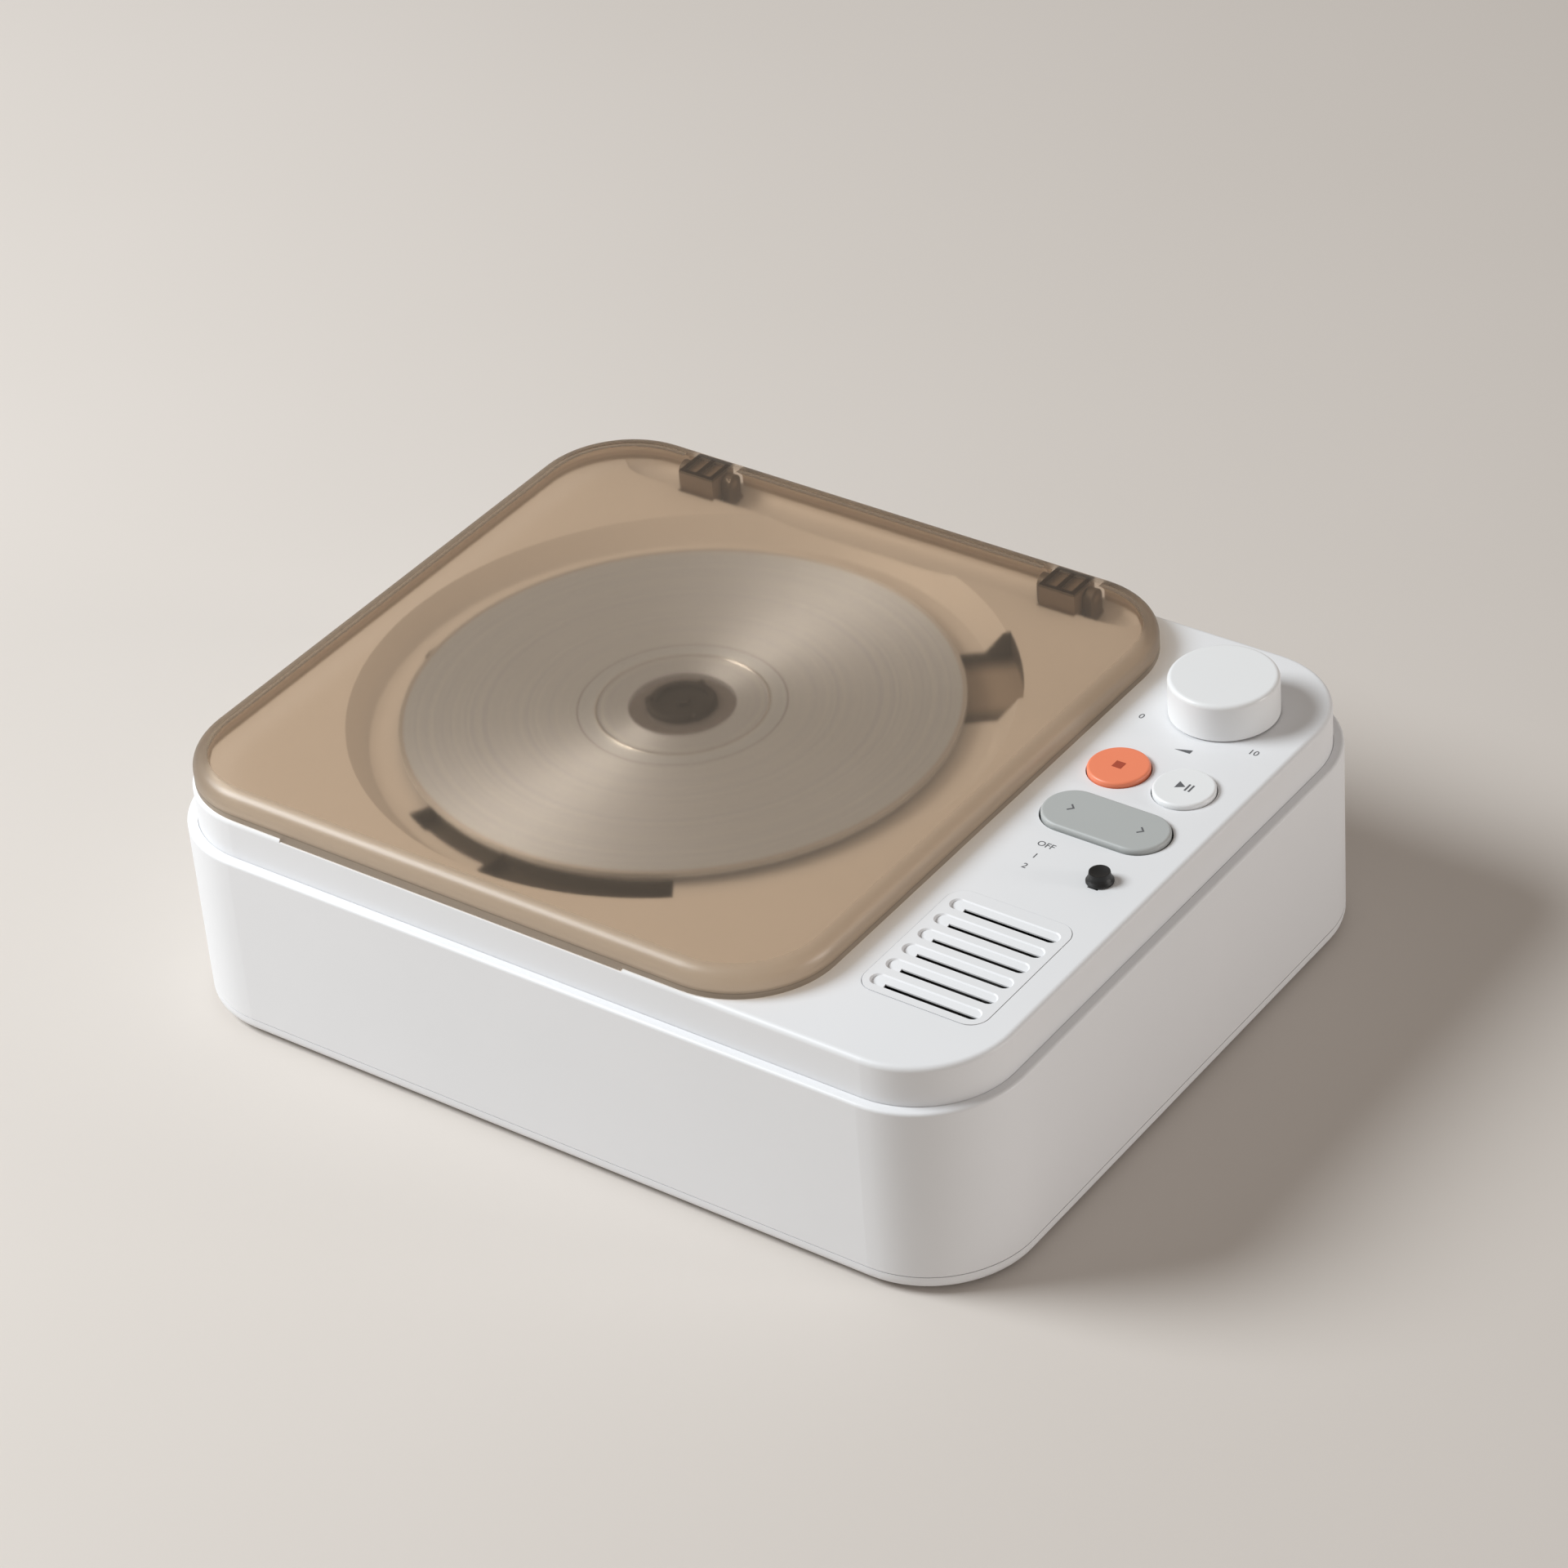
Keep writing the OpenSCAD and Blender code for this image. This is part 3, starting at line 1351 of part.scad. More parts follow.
module slot_profile() {
  r = slot_w / 2;
  wide = r + slot_edge;
  top = grille_t + cut;
  polygon([[0, -cut], [r, -cut], [r, grille_t - slot_edge], [wide, grille_t], [wide, top], [0, top]]);
}

module speaker_gasket() color("black") {
  translate([strip_x, grille_y, deck_under - speaker_boss_h]) linear_extrude(speaker_boss_h) difference() {
    round_rect(speaker_hole_w + 1.8, speaker_hole_d + 2.4, 4);
    round_rect(speaker_hole_w, speaker_hole_d, 3);
  }
}

module speaker_frame() color([0.25, 0.25, 0.26]) {
  z0 = speaker_flange_z;
  translate([strip_x, grille_y, 0]) difference() {
    union() {
      translate([0, 0, z0]) linear_extrude(speaker_flange_t) {
        round_rect(speaker_flange_w - 1, speaker_flange_d, 4);
      }
      rotate_extrude() polygon([
        [magnet_r + 0.5, basket_z],
        [magnet_r + 0.5 + basket_t, basket_z],
        [cone_r + 2.2, z0 + 0.5],
        [cone_r + 0.8, z0 + 0.5]
      ]);
      translate([0, 0, basket_z]) cylinder(r = magnet_r + 1, h = basket_t);
    }
    translate([0, 0, z0 - 0.01]) cylinder(r = cone_r + 0.5, h = speaker_flange_t + cut);
    for (a = [0 : 60 : 300]) rotate([0, 0, a]) {
      box([magnet_r - 1, cone_r + 4], [-2.6, 2.6], [basket_z + basket_t, z0 - 1]);
    }
    translate([0, 0, basket_z - cut]) cylinder(r = 4.6, h = basket_t + 2 * cut);
    at_corners(speaker_boss_xy[0], speaker_boss_xy[1]) translate([0, 0, z0 - cut]) {
      cylinder(r = 1.2, h = speaker_flange_t + 2 * cut);
    }
  }
}

module speaker_cone() color([0.15, 0.15, 0.15]) {
  z1 = speaker_flange_z + speaker_flange_t;
  translate([strip_x, grille_y, 0]) rotate_extrude() {
    polygon([
      [4, z1 - cone_depth], [cone_r - 1.8, z1 - 0.8], [cone_r + 0.5, z1 - 0.8],
      [cone_r + 0.5, z1 - 0.2], [cone_r - 2, z1 - 0.2], [4, z1 - cone_depth + 0.7]
    ]);
    translate([3.4, basket_z + basket_t - 0.6]) {
      square([0.9, z1 - cone_depth + 1.2 - basket_z - basket_t]);
    }
    intersection() {
      translate([0, z1 - cone_depth - 2.6]) difference() {
        circle(5.2);
        circle(4.6);
      }
      translate([0, z1 - cone_depth]) square([4.4, 6]);
    }
  }
}

module speaker_magnet() color("silver") {
  translate([strip_x, grille_y, 0]) difference() {
    translate([0, 0, basket_z - magnet_h]) cylinder(r = magnet_r, h = magnet_h);
    translate([0, 0, basket_z - 2]) pipe_cut();
  }
}

// Ring-shaped gap that the voice coil dips into
module pipe_cut() {
  pipe(4.6, 3.1, 0, 2 + cut);
}

module speaker_screws() color("silver") {
  at_speaker_bosses() translate([0, 0, speaker_flange_z]) {
    translate([0, 0, -1.2]) cylinder(r = 1.8, h = 1.2);
    cylinder(r = 0.9, h = 3.8);
  }
}

// ---------------------------------------------------------------- electronics

module main_board() color("darkgreen") {
  difference() {
    box([main_x - main_w / 2, main_x + main_w / 2], [main_y0, main_y1], [main_z, main_top]);
    for (x = [-main_hole_dx, main_hole_dx], y = main_hole_y) {
      translate([main_x + x, y, main_z - cut]) cylinder(r = board_screw_r + 0.2, h = board_t + 2 * cut);
    }
  }
}

module board_parts() color([0.15, 0.15, 0.17]) {
  translate([main_x, main_y0, main_top]) {
    box([-28, -14], [12, 26], [0, 1.6]);
    box([-4, 6], [10, 17], [0, 1.8]);
    box([14, 21], [14, 19], [0, 1.5]);
    translate([-8, 27, 0]) cylinder(r = 4, h = 10);
    translate([7, 29, 0]) cylinder(r = 3, h = 8);
    translate([27, 10, 0]) cylinder(r = 3, h = 8);
    box([-24, -10], [2.5, 6], [0, 3]);
    box([18, 34], [1.5, 5], [0, 3]);
  }
}

module jack_body(x, size, nose_r, bore_r, depth) {
  body_y1 = body_hd - tub_wall - 0.3;
  difference() {
    union() {
      box([x - size[0] / 2, x + size[0] / 2], [body_y1 - size[1], body_y1], [main_top, main_top + size[2]]);
      rod_y(x, body_y1 - 1, socket_face, socket_z, nose_r);
    }
    rod_y(x, socket_face - depth, socket_face + cut, socket_z, bore_r);
  }
}

module audio_jack() color([0.1, 0.1, 0.1]) jack_body(audio_x, audio_body, audio_nose_r, audio_r, 14);

module power_jack() color([0.1, 0.1, 0.1]) jack_body(power_x, power_body, power_nose_r, power_r, 9.5);

module power_jack_pin() color("silver") {
  rod_y(power_x, socket_face - 9.5, socket_face - 1.5, socket_z, power_pin_r);
}

// Point beside a bent path: the corner of a strip of thickness 2 * side there
function unit(v) = v / norm(v);
function beside(points, i, side) =
  let (
    last = len(points) - 1,
    before = unit(points[max(i, 1)] - points[max(i, 1) - 1]),
    after = unit(points[min(i, last - 1) + 1] - points[min(i, last - 1)]),
    along = unit(before + after),
    normal = [-along[1], along[0]]
  )
  points[i] + normal * side / (normal * [-after[1], after[0]]);

// Flat cable along a bent path in a plane
module strip_path(points, t) {
  last = len(points) - 1;
  polygon(concat(
    [for (i = [0 : last]) beside(points, i, t / 2)],
    [for (i = [last : -1 : 0]) beside(points, i, -t / 2)]
  ));
}

module pickup_flex() color("orange") {
  x0 = main_x - 17;
  y_board = main_y0 + 2.3;
  lead = well_y - chassis_v[0] - 3;
  translate([x0 - 12, 0, 0]) rotate([90, 0, 90]) linear_extrude(10) strip_path([
    [y_board, main_top + 3.2], [y_board - 4, main_top + 3.2], [lead - 2, chassis_under - 12],
    [lead - 2, chassis_under - flex_t / 2 - 0.05], [lead - 8, chassis_under - flex_t / 2 - 0.05]
  ], flex_t);
}

module panel_ribbon() color("orange") {
  x0 = main_x + 26;
  y_board = main_y0 + 1;
  y_panel = control_y[0] + 30;
  translate([x0 - 5, 0, 0]) rotate([90, 0, 90]) linear_extrude(10) strip_path([
    [y_board + 2, main_top + 3.2], [y_board - 6, main_top + 3.2], [y_panel - 8, board_under - 14],
    [y_panel - 8, board_under - flex_t / 2 - 0.05], [y_panel, board_under - flex_t / 2 - 0.05]
  ], flex_t);
}

base_cover();
rubber_feet();
case_screws();
lower_case();
top_case();
lid();
lid_hinge_lugs();
hinge_pins();
disc();
turntable();
disc_hub();
hub_balls();
spindle_shaft();
spindle_motor();
mech_chassis();
mech_dampers();
damper_screws();
guide_rods();
pickup_sled();
sled_rack();
lens_holder();
pickup_lens();
drive_gear();
gear_clip();
motor_pinion();
sled_motor_shaft();
sled_motor();
volume_knob();
pot_shaft();
volume_pot();
stop_button();
play_button();
stop_dome();
play_dome();
skip_rocker();
rocker_pin();
rocker_domes();
mode_knob();
mode_switch();
control_board();
board_screws();
speaker_grille();
speaker_gasket();
speaker_frame();
speaker_cone();
speaker_magnet();
speaker_screws();
main_board();
board_parts();
audio_jack();
power_jack();
power_jack_pin();
pickup_flex();
panel_ribbon();
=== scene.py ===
# %% [markdown]
# # A compact disc player with a smoke lid
# This lesson dresses a disc player that was built as separate solid pieces: a white case in three mouldings,
# a hinged smoke lid over a well for the disc, and a strip of controls with a small loudspeaker. The solids come
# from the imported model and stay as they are. What is made here is what a solid modeller leaves out: the finish
# of every surface, the printed marks, the light and the camera.

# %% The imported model
import json
import math

import bpy
import numpy as np
from mathutils import Matrix, Vector


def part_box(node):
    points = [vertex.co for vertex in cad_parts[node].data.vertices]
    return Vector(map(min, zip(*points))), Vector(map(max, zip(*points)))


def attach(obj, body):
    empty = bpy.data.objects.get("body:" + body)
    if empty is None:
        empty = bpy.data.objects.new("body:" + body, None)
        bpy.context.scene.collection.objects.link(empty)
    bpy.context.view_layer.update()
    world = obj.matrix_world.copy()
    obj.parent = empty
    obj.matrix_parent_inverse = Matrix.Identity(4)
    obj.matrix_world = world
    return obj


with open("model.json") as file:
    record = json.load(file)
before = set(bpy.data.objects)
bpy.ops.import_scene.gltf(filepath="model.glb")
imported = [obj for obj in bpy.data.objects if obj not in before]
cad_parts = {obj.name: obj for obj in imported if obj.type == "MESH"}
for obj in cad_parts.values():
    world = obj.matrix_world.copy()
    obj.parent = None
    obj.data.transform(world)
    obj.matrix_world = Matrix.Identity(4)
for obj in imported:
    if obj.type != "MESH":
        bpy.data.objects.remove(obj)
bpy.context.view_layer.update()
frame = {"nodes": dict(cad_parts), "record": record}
MM = 0.001

# %% [markdown]
# ## The camera
# Product pictures are taken with a long lens from some distance, so that upright edges stay nearly parallel.
# The camera stands over a metre away, at the front right of the player, and looks down at about 35 degrees.
# It is rolled a little, as a hand-held camera is. Azimuth, elevation and roll are turned into three axes by
# hand, because a rotation built from its axes can't be read in the wrong order.

# %% Camera from three angles
AZIMUTH, ELEVATION, ROLL = (math.radians(a) for a in (37.885, 35.188, -4.861))
LENS_MM, SENSOR_MM = 119.06, 36.0
NEAREST, FARTHEST = 0.05, 50.0
EYE = Vector((0.547519, -0.697246, 0.667060))


def camera_axes(azimuth, elevation, roll):
    """The camera's right, up and backward axes: backward points from the object to the eye, right is level
    before the roll, and the roll turns right and up about backward."""
    backward = Vector((math.sin(azimuth) * math.cos(elevation),
                       -math.cos(azimuth) * math.cos(elevation), math.sin(elevation)))
    right = (-backward).cross(Vector((0, 0, 1))).normalized()
    up = right.cross(-backward)
    return (math.cos(roll) * right + math.sin(roll) * up,
            -math.sin(roll) * right + math.cos(roll) * up, backward)


camera = bpy.data.objects.new("camera", bpy.data.cameras.new("camera"))
bpy.context.scene.collection.objects.link(camera)
camera.data.lens, camera.data.sensor_width = LENS_MM, SENSOR_MM
camera.data.clip_start, camera.data.clip_end = NEAREST, FARTHEST
axes = camera_axes(AZIMUTH, ELEVATION, ROLL)
camera.matrix_world = Matrix.Translation(EYE) @ Matrix(axes).transposed().to_4x4()
bpy.context.scene.camera = camera
print("the eye is", round(EYE.length, 3), "m from the foot of the player")

# %% [markdown]
# ## Colours and a small language for shaders
# A colour is written in the display's own scale, where 255 is white. Shaders need linear light,
# so `tint` converts it. A shader tree is easier to read as a formula than as a list of links. `Wire` stands for
# one output of a node, and the usual signs work on it: each adds a Math node. `Finish` holds one material and
# adds any other node by its type. Only numbers that change over a surface are wires. A constant is set on the
# socket itself.


# %% Tint, Wire and Finish
def tint(red, green, blue):
    """A display colour of 0 to 255 as linear light with alpha: the curve of the display is undone."""
    linear = [c / 12.92 if c <= 0.04045 else ((c + 0.055) / 1.055) ** 2.4
              for c in (red / 255, green / 255, blue / 255)]
    return (*linear, 1.0)


class Wire:
    """One output of a shader node. Plus, minus, times and divide add Math nodes. In a sum or a difference a
    plain number may also stand first."""

    def __init__(self, finish, socket):
        self.finish, self.socket = finish, socket

    def math(self, operation, *others, clamp=False):
        """A Math node with this wire first and the other values after it."""
        settings = {"operation": operation, "use_clamp": clamp}
        return self.finish.add("ShaderNodeMath", settings, {0: self, **dict(enumerate(others, 1))})[0]

    def __add__(self, other):
        return self.math("ADD", other)

    def __radd__(self, other):
        return self.math("ADD", other)

    def __sub__(self, other):
        return self.math("SUBTRACT", other)

    def __rsub__(self, other):
        return self.finish.add("ShaderNodeMath", {"operation": "SUBTRACT"}, {0: other, 1: self})[0]

    def __mul__(self, other):
        return self.math("MULTIPLY", other)

    def __truediv__(self, other):
        return self.math("DIVIDE", other)

    def root(self):
        return self.math("SQRT")

    def between(self, low, high, soft):
        """1 where the value lies from low to high, with both edges soft: two clamped ramps multiplied."""
        rise = ((self - low) / soft).math("ADD", 0.5, clamp=True)
        fall = ((high - self) / soft).math("ADD", 0.5, clamp=True)
        return rise * fall


class Finish:
    """One material. `add` makes any node, `surface` sets the shader's sockets."""

    def __init__(self, name):
        self.material = bpy.data.materials.new(name)
        self.material.use_nodes = True
        self.nodes = self.material.node_tree.nodes
        self.links = self.material.node_tree.links
        self.shader = self.nodes["Principled BSDF"]
        self.output = self.nodes["Material Output"]

    def add(self, kind, settings=None, sockets=None):
        """A node of that kind: its settings first, then its sockets by name or number, and its outputs back."""
        node = self.nodes.new(kind)
        for key, value in (settings or {}).items():
            setattr(node, key, value)
        for key, value in (sockets or {}).items():
            self.feed(node.inputs[key], value)
        wires = [Wire(self, output) for output in node.outputs if output.enabled]
        return {**{wire.socket.name: wire for wire in wires}, **dict(enumerate(wires))}

    def feed(self, socket, value):
        """A wire is linked to the socket, and a plain value is set on it."""
        if isinstance(value, Wire):
            self.links.new(value.socket, socket)
        else:
            socket.default_value = value

    def surface(self, **sockets):
        """Sets the main shader's sockets: base_color=... goes to Base Color."""
        for key, value in sockets.items():
            self.feed(self.shader.inputs[key.replace("_", " ").title().replace("Ior", "IOR")], value)

    def mixed(self, share, first, second):
        """Two shaders in one: share 0 is the first, and 1 the second."""
        return self.add("ShaderNodeMixShader", None, {0: share, 1: first, 2: second})["Shader"]

    def clear(self, red, green, blue):
        """A plain transparent shader that tints what passes straight through it, in linear light."""
        return self.add("ShaderNodeBsdfTransparent", None, {"Color": (red, green, blue, 1)})["BSDF"]

    def place(self, centre=(0, 0, 0), stretch=(1, 1, 1)):
        """Where a point of the piece lies, in metres, counted from a centre in mm."""
        here = self.add("ShaderNodeTexCoord")["Object"]
        shift = tuple(-c * MM * s for c, s in zip(centre, stretch))
        return self.add("ShaderNodeMapping", {"vector_type": "POINT"},
                        {"Vector": here, "Location": shift, "Scale": stretch})[0]

    def grain(self, size_mm, detail=2.0, place=None):
        """Soft random spots about size_mm across, from 0 to 1."""
        return self.add("ShaderNodeTexNoise", None,
                        {"Vector": place or self.place(), "Scale": 1 / (size_mm * MM), "Detail": detail,
                         "Roughness": 0.5})[0]

    def blend(self, share, first, second):
        """A colour between two others: share 0 is the first, and 1 the second. Of a Mix node's many sockets, 0, 6
        and 7 are the share and the two colours, and output 2 is the mixed colour."""
        mix = self.nodes.new("ShaderNodeMix")
        mix.data_type = "RGBA"
        for socket, value in zip((mix.inputs[0], mix.inputs[6], mix.inputs[7]), (share, first, second)):
            self.feed(socket, value)
        return Wire(self, mix.outputs[2])

    def bump(self, height, depth_mm, strength=1.0):
        """A surface raised by height times depth_mm, as a normal."""
        return self.add("ShaderNodeBump", None, {"Height": height, "Distance": depth_mm * MM,
                                                 "Strength": strength})["Normal"]

    def radius(self, place):
        """The distance from the upright axis through the place's centre: the root of x squared plus y squared."""
        part = self.add("ShaderNodeSeparateXYZ", None, {"Vector": place})
        return (part["X"] * part["X"] + part["Y"] * part["Y"]).root()


finishes = {}
print("white paint is", [round(c, 3) for c in tint(226, 227, 229)], "in linear light")

# %% [markdown]
# ## Moulded white plastic
# The case is injection-moulded ABS. Its tool is spark eroded, which leaves a very fine even grain that spreads
# the light, so that the plastic looks satin and not wet. Two scales are enough to tell the eye this: a grain of
# about a quarter of a millimetre in the bump and the roughness, and a slow drift of the colour over some
# centimetres. The round knob and the play button come from another tool, a touch smoother and brighter.

# %% Satin white
DRIFT_MM = 38
GRAIN_STRENGTH = 0.6


def moulded(name, light, dark, rough, grain_mm=0.28, depth_mm=0.004, spread=0.05):
    """Satin plastic: a colour that drifts between two near tones, with fine grain in roughness and bump."""
    made = Finish(name)
    drift = made.grain(DRIFT_MM, detail=3)
    fine = made.grain(grain_mm, detail=3)
    made.colour = made.blend(drift, dark, light)
    made.surface(base_color=made.colour, roughness=rough + (fine - 0.5) * spread,
                 normal=made.bump(fine, depth_mm, GRAIN_STRENGTH))
    finishes[name] = made
    return made


case_white = moulded("case_white", tint(233, 233, 235), tint(228, 229, 231), 0.44)
case_white.surface(ior=1.5)
knob_white = moulded("knob_white", tint(237, 238, 239), tint(233, 234, 235), 0.36, grain_mm=0.2)
knob_white.surface(ior=1.5)
print("white finishes:", sorted(finishes))

# %% [markdown]
# ## Painted shade in the reliefs round the disc
# A disc can only be lifted out if a thumb and a fingertip can reach under its edge, so the well has a notch at
# one side and two pockets at the front. They are the deepest places of the deck, and the shade that falls in them
# is painted into the case's colour as dark grey. The notch's floor stays lighter in its middle and is painted
# darker towards its walls, as the shade beside them. The ears that hold the hinge pins stand above the deck and are
# brown like the lugs beside them. One material does all of it by position: `u` runs through the notch from the
# well's middle, `v` runs across it, and the height over the deck tells floors from walls. Each range is a pair of
# limits in mm.

# %% Painted shade in the notch and pockets, and brown ears, by position
WELL_X, WELL_Y, DECK_Z = -22.4, 2.9, 54.6
NOTCH_ANGLE = math.radians(39)
NOTCH_U, NOTCH_V, NOTCH_Z, NOTCH_FLOOR_Z = (58.0, 72.6), (-13.0, 13.0), (-9.0, -0.5), (-9.0, -6.3)
POCKET_RADIUS, POCKET_Z = (57.0, 66.4), (-10.5, -5.3)
LIGHT_FLOOR_V, LIGHT_FLOOR_SOFT = (-7.5, 9.5), 5.0
LUGS_X, EAR_FROM_LUG, EAR_Y, EAR_Z = (-44.0, 51.1), (4.8, 7.0), (69.0, 74.2), (-7.0, 8.0)
at_well = case_white.place((WELL_X, WELL_Y, DECK_Z))
part = case_white.add("ShaderNodeSeparateXYZ", None, {"Vector": at_well})
x, y, z = part["X"] / MM, part["Y"] / MM, part["Z"] / MM
u = x * math.cos(NOTCH_ANGLE) + y * math.sin(NOTCH_ANGLE)
v = y * math.cos(NOTCH_ANGLE) - x * math.sin(NOTCH_ANGLE)
in_notch = u.between(*NOTCH_U, 0.2) * v.between(*NOTCH_V, 0.2) * z.between(*NOTCH_Z, 0.3)
in_pocket = (case_white.radius(at_well) / MM).between(*POCKET_RADIUS, 0.2) * z.between(*POCKET_Z, 0.3)
notch_floor = z.between(*NOTCH_FLOOR_Z, 0.3)
# Painted shade: the notch's floor darkens towards its walls, and the notch's walls and the pockets are painted dark
# grey.
shade_by_the_walls = 1 - v.between(*LIGHT_FLOOR_V, LIGHT_FLOOR_SOFT)
floor_painted_shade = case_white.blend(shade_by_the_walls, tint(180, 171, 162), tint(66, 62, 58))
notch_painted_shade = case_white.blend(notch_floor, tint(72, 67, 62), floor_painted_shade)
pocket_painted_shade = case_white.blend(in_pocket, case_white.colour, tint(78, 75, 71))
reliefs_painted_shade = case_white.blend(in_notch, pocket_painted_shade, notch_painted_shade)
left_ears, right_ears = ((x - lug_x).math("ABSOLUTE").between(*EAR_FROM_LUG, 0.1) for lug_x in LUGS_X)
hinge_ears = (left_ears + right_ears) * y.between(*EAR_Y, 0.1) * z.between(*EAR_Z, 0.2)
case_white.surface(base_color=case_white.blend(hinge_ears, reliefs_painted_shade, tint(92, 82, 73)))
print("notch at", round(math.degrees(NOTCH_ANGLE)), "degrees, pockets within", POCKET_RADIUS[1], "mm of the middle")

# %% [markdown]
# ## Coloured plastics and rubber
# The stop button and the rocker are moulded in coloured plastic with the same satin grain. The small slide knob
# is glossier black plastic that picks up fine dust, and the feet and dampers are matt rubber, whose mould leaves
# a coarser skin.

# %% Buttons, slide knob, feet
moulded("stop_orange", tint(246, 142, 106), tint(241, 135, 99), 0.4, grain_mm=0.2)
moulded("rocker_grey", tint(181, 184, 183), tint(175, 178, 177), 0.46, grain_mm=0.2)
moulded("knob_black", tint(25, 25, 25), tint(17, 17, 17), 0.45, grain_mm=0.25, spread=0.16)
moulded("black_plastic", tint(40, 40, 42), tint(30, 30, 32), 0.5, grain_mm=0.3)
moulded("feet_rubber", tint(62, 61, 60), tint(52, 51, 50), 0.78, grain_mm=0.5, depth_mm=0.02)
moulded("damper_rubber", tint(52, 52, 54), tint(40, 40, 42), 0.72, grain_mm=0.4, depth_mm=0.015)
moulded("pot_body", tint(46, 62, 92), tint(38, 52, 80), 0.5)
moulded("hub_dark", tint(16, 19, 23), tint(11, 14, 18), 0.7, grain_mm=0.2)
moulded("turntable_grey", tint(74, 72, 70), tint(64, 62, 60), 0.5, grain_mm=0.25)
moulded("gear_ivory", tint(226, 220, 202), tint(216, 209, 190), 0.4, grain_mm=0.3)
print("plastics and rubbers:", len(finishes))

# %% [markdown]
# ## Where the lid's rim is
# The lid is one moulding of clear polycarbonate with a brown smoke dye, about 2 mm thick. Its rim is seen edge-on,
# so it needs a finish of its own. It is found by the distance from the lid's outline, a rectangle with round
# corners: how far a point lies past the corner's centre, both ways, less the corner's radius. That distance is
# negative inside. Along the rim run two more things: a thin parting seam 1 mm above the foot, and the foot itself.
# Light and shade are painted on the rim as well: its outermost half millimetre is painted darker all round as
# shade, but not at the front, where the lid's lip turns down towards the light and the rim is painted lighter.

# %% The rim by its distance from the outline
LID_MIDDLE_X, LID_HALF_X, LID_HALF_Y, LID_CORNER = -20.6, 78.9, 78.8, 21.8
RIM_WIDE, FOOT_WIDE, SEAM_DEEP, SHADED_OUTLINE_WIDE, PAST_EDGE = 3.4, 2.0, 0.7, 0.5, 1.0
UNDER_FOOT_Z, SEAM_LOW_Z, SEAM_HIGH_Z = 50.0, 55.9, 56.25
LIT_FRONT_Y = (-90.0, -68.0)
smoke = Finish("lid_smoke")
part = smoke.add("ShaderNodeSeparateXYZ", None, {"Vector": smoke.place((LID_MIDDLE_X, 0, 0))})
past_x = (part["X"] / MM).math("ABSOLUTE") - (LID_HALF_X - LID_CORNER)
past_y = (part["Y"] / MM).math("ABSOLUTE") - (LID_HALF_Y - LID_CORNER)
corner_x, corner_y = past_x.math("MAXIMUM", 0.0), past_y.math("MAXIMUM", 0.0)
from_outline = (corner_x * corner_x + corner_y * corner_y).root() - LID_CORNER
height = part["Z"] / MM
rim = from_outline.between(-RIM_WIDE, PAST_EDGE, 0.8)
seam = from_outline.between(-SEAM_DEEP, PAST_EDGE, 0.1) * height.between(SEAM_LOW_Z, SEAM_HIGH_Z, 0.15)
foot = from_outline.between(-FOOT_WIDE, PAST_EDGE, 0.2) * height.between(UNDER_FOOT_Z, SEAM_LOW_Z, 0.15)
# Painted light: the rim's front, which faces the lamp, is painted lighter. Painted shade: the outermost half
# millimetre elsewhere is painted darker.
front = (part["Y"] / MM).between(*LIT_FRONT_Y, 12.0)
outline = from_outline.between(-SHADED_OUTLINE_WIDE, PAST_EDGE, 0.3) * (1 - front)
print("the rim is", RIM_WIDE, "mm wide, with its seam between", SEAM_LOW_Z, "and", SEAM_HIGH_Z, "mm")

# %% [markdown]
# ## The smoke lid
# Four things make the look of the dyed and finely frosted plastic. A warm tint colours every ray that passes a
# face. The dye takes light away along the path inside the plastic, so edges, where the path is long, turn dark:
# that is a volume that absorbs. The frost bends each ray a little, so what lies deeper looks more blurred: that is
# rough glass. A little of the light is thrown back by the frost, which lifts the darks: that is a share of
# brown diffuse shader, larger on the rim and largest at its foot.

# %% Frosted and dyed glass
HAZE_SHARE, RIM_HAZE, FOOT_HAZE = 0.08, 0.07, 0.35
FROST_MM, FROST_DEPTH_MM = 0.22, 0.002
SEAM_DARK = (0.16, 0.12, 0.09, 1)
frost = smoke.grain(FROST_MM)
# Painted light and shade on the rim: its tint is a little darker than the top's as shade, lighter at the front as
# light, and darkest along the outline as shade.
rim_painted_light_and_shade = smoke.blend(front, (0.935, 0.79, 0.655, 1), (0.98, 0.86, 0.735, 1))
outline_painted_shade = smoke.blend(outline, rim_painted_light_and_shade, (0.82, 0.70, 0.585, 1))
body_tint = smoke.blend(rim, (0.955, 0.805, 0.667, 1), outline_painted_shade)
smoke.surface(base_color=smoke.blend(seam * 0.8, body_tint, SEAM_DARK), ior=1.45,
              roughness=0.12 + (frost - 0.5) * 0.04 + rim * 0.25, transmission_weight=1.0,
              normal=smoke.bump(frost, FROST_DEPTH_MM, 0.3))
haze = smoke.add("ShaderNodeBsdfDiffuse", None, {"Color": tint(157, 148, 138), "Roughness": 0.6})["BSDF"]
haze_share = HAZE_SHARE + rim * RIM_HAZE + foot * FOOT_HAZE
glass = smoke.mixed(haze_share, Wire(smoke, smoke.shader.outputs[0]), haze)
print("smoke lid: haze", HAZE_SHARE, "on the top and", round(HAZE_SHARE + RIM_HAZE, 2), "on the rim")

# %% [markdown]
# ## How light gets under the lid
# Lamps can't find their way through rough glass, so for their rays the surface is plain transparent with a tint.
# Light that bounces about under the lid meets it too. Most of it passes, and the rest is scattered by the frost:
# that is a translucent shader, and its share is taken off what the lamps send straight through, so that no light
# is counted twice. The lugs are part of the same brown family, but solid, with a darker ribbed top.

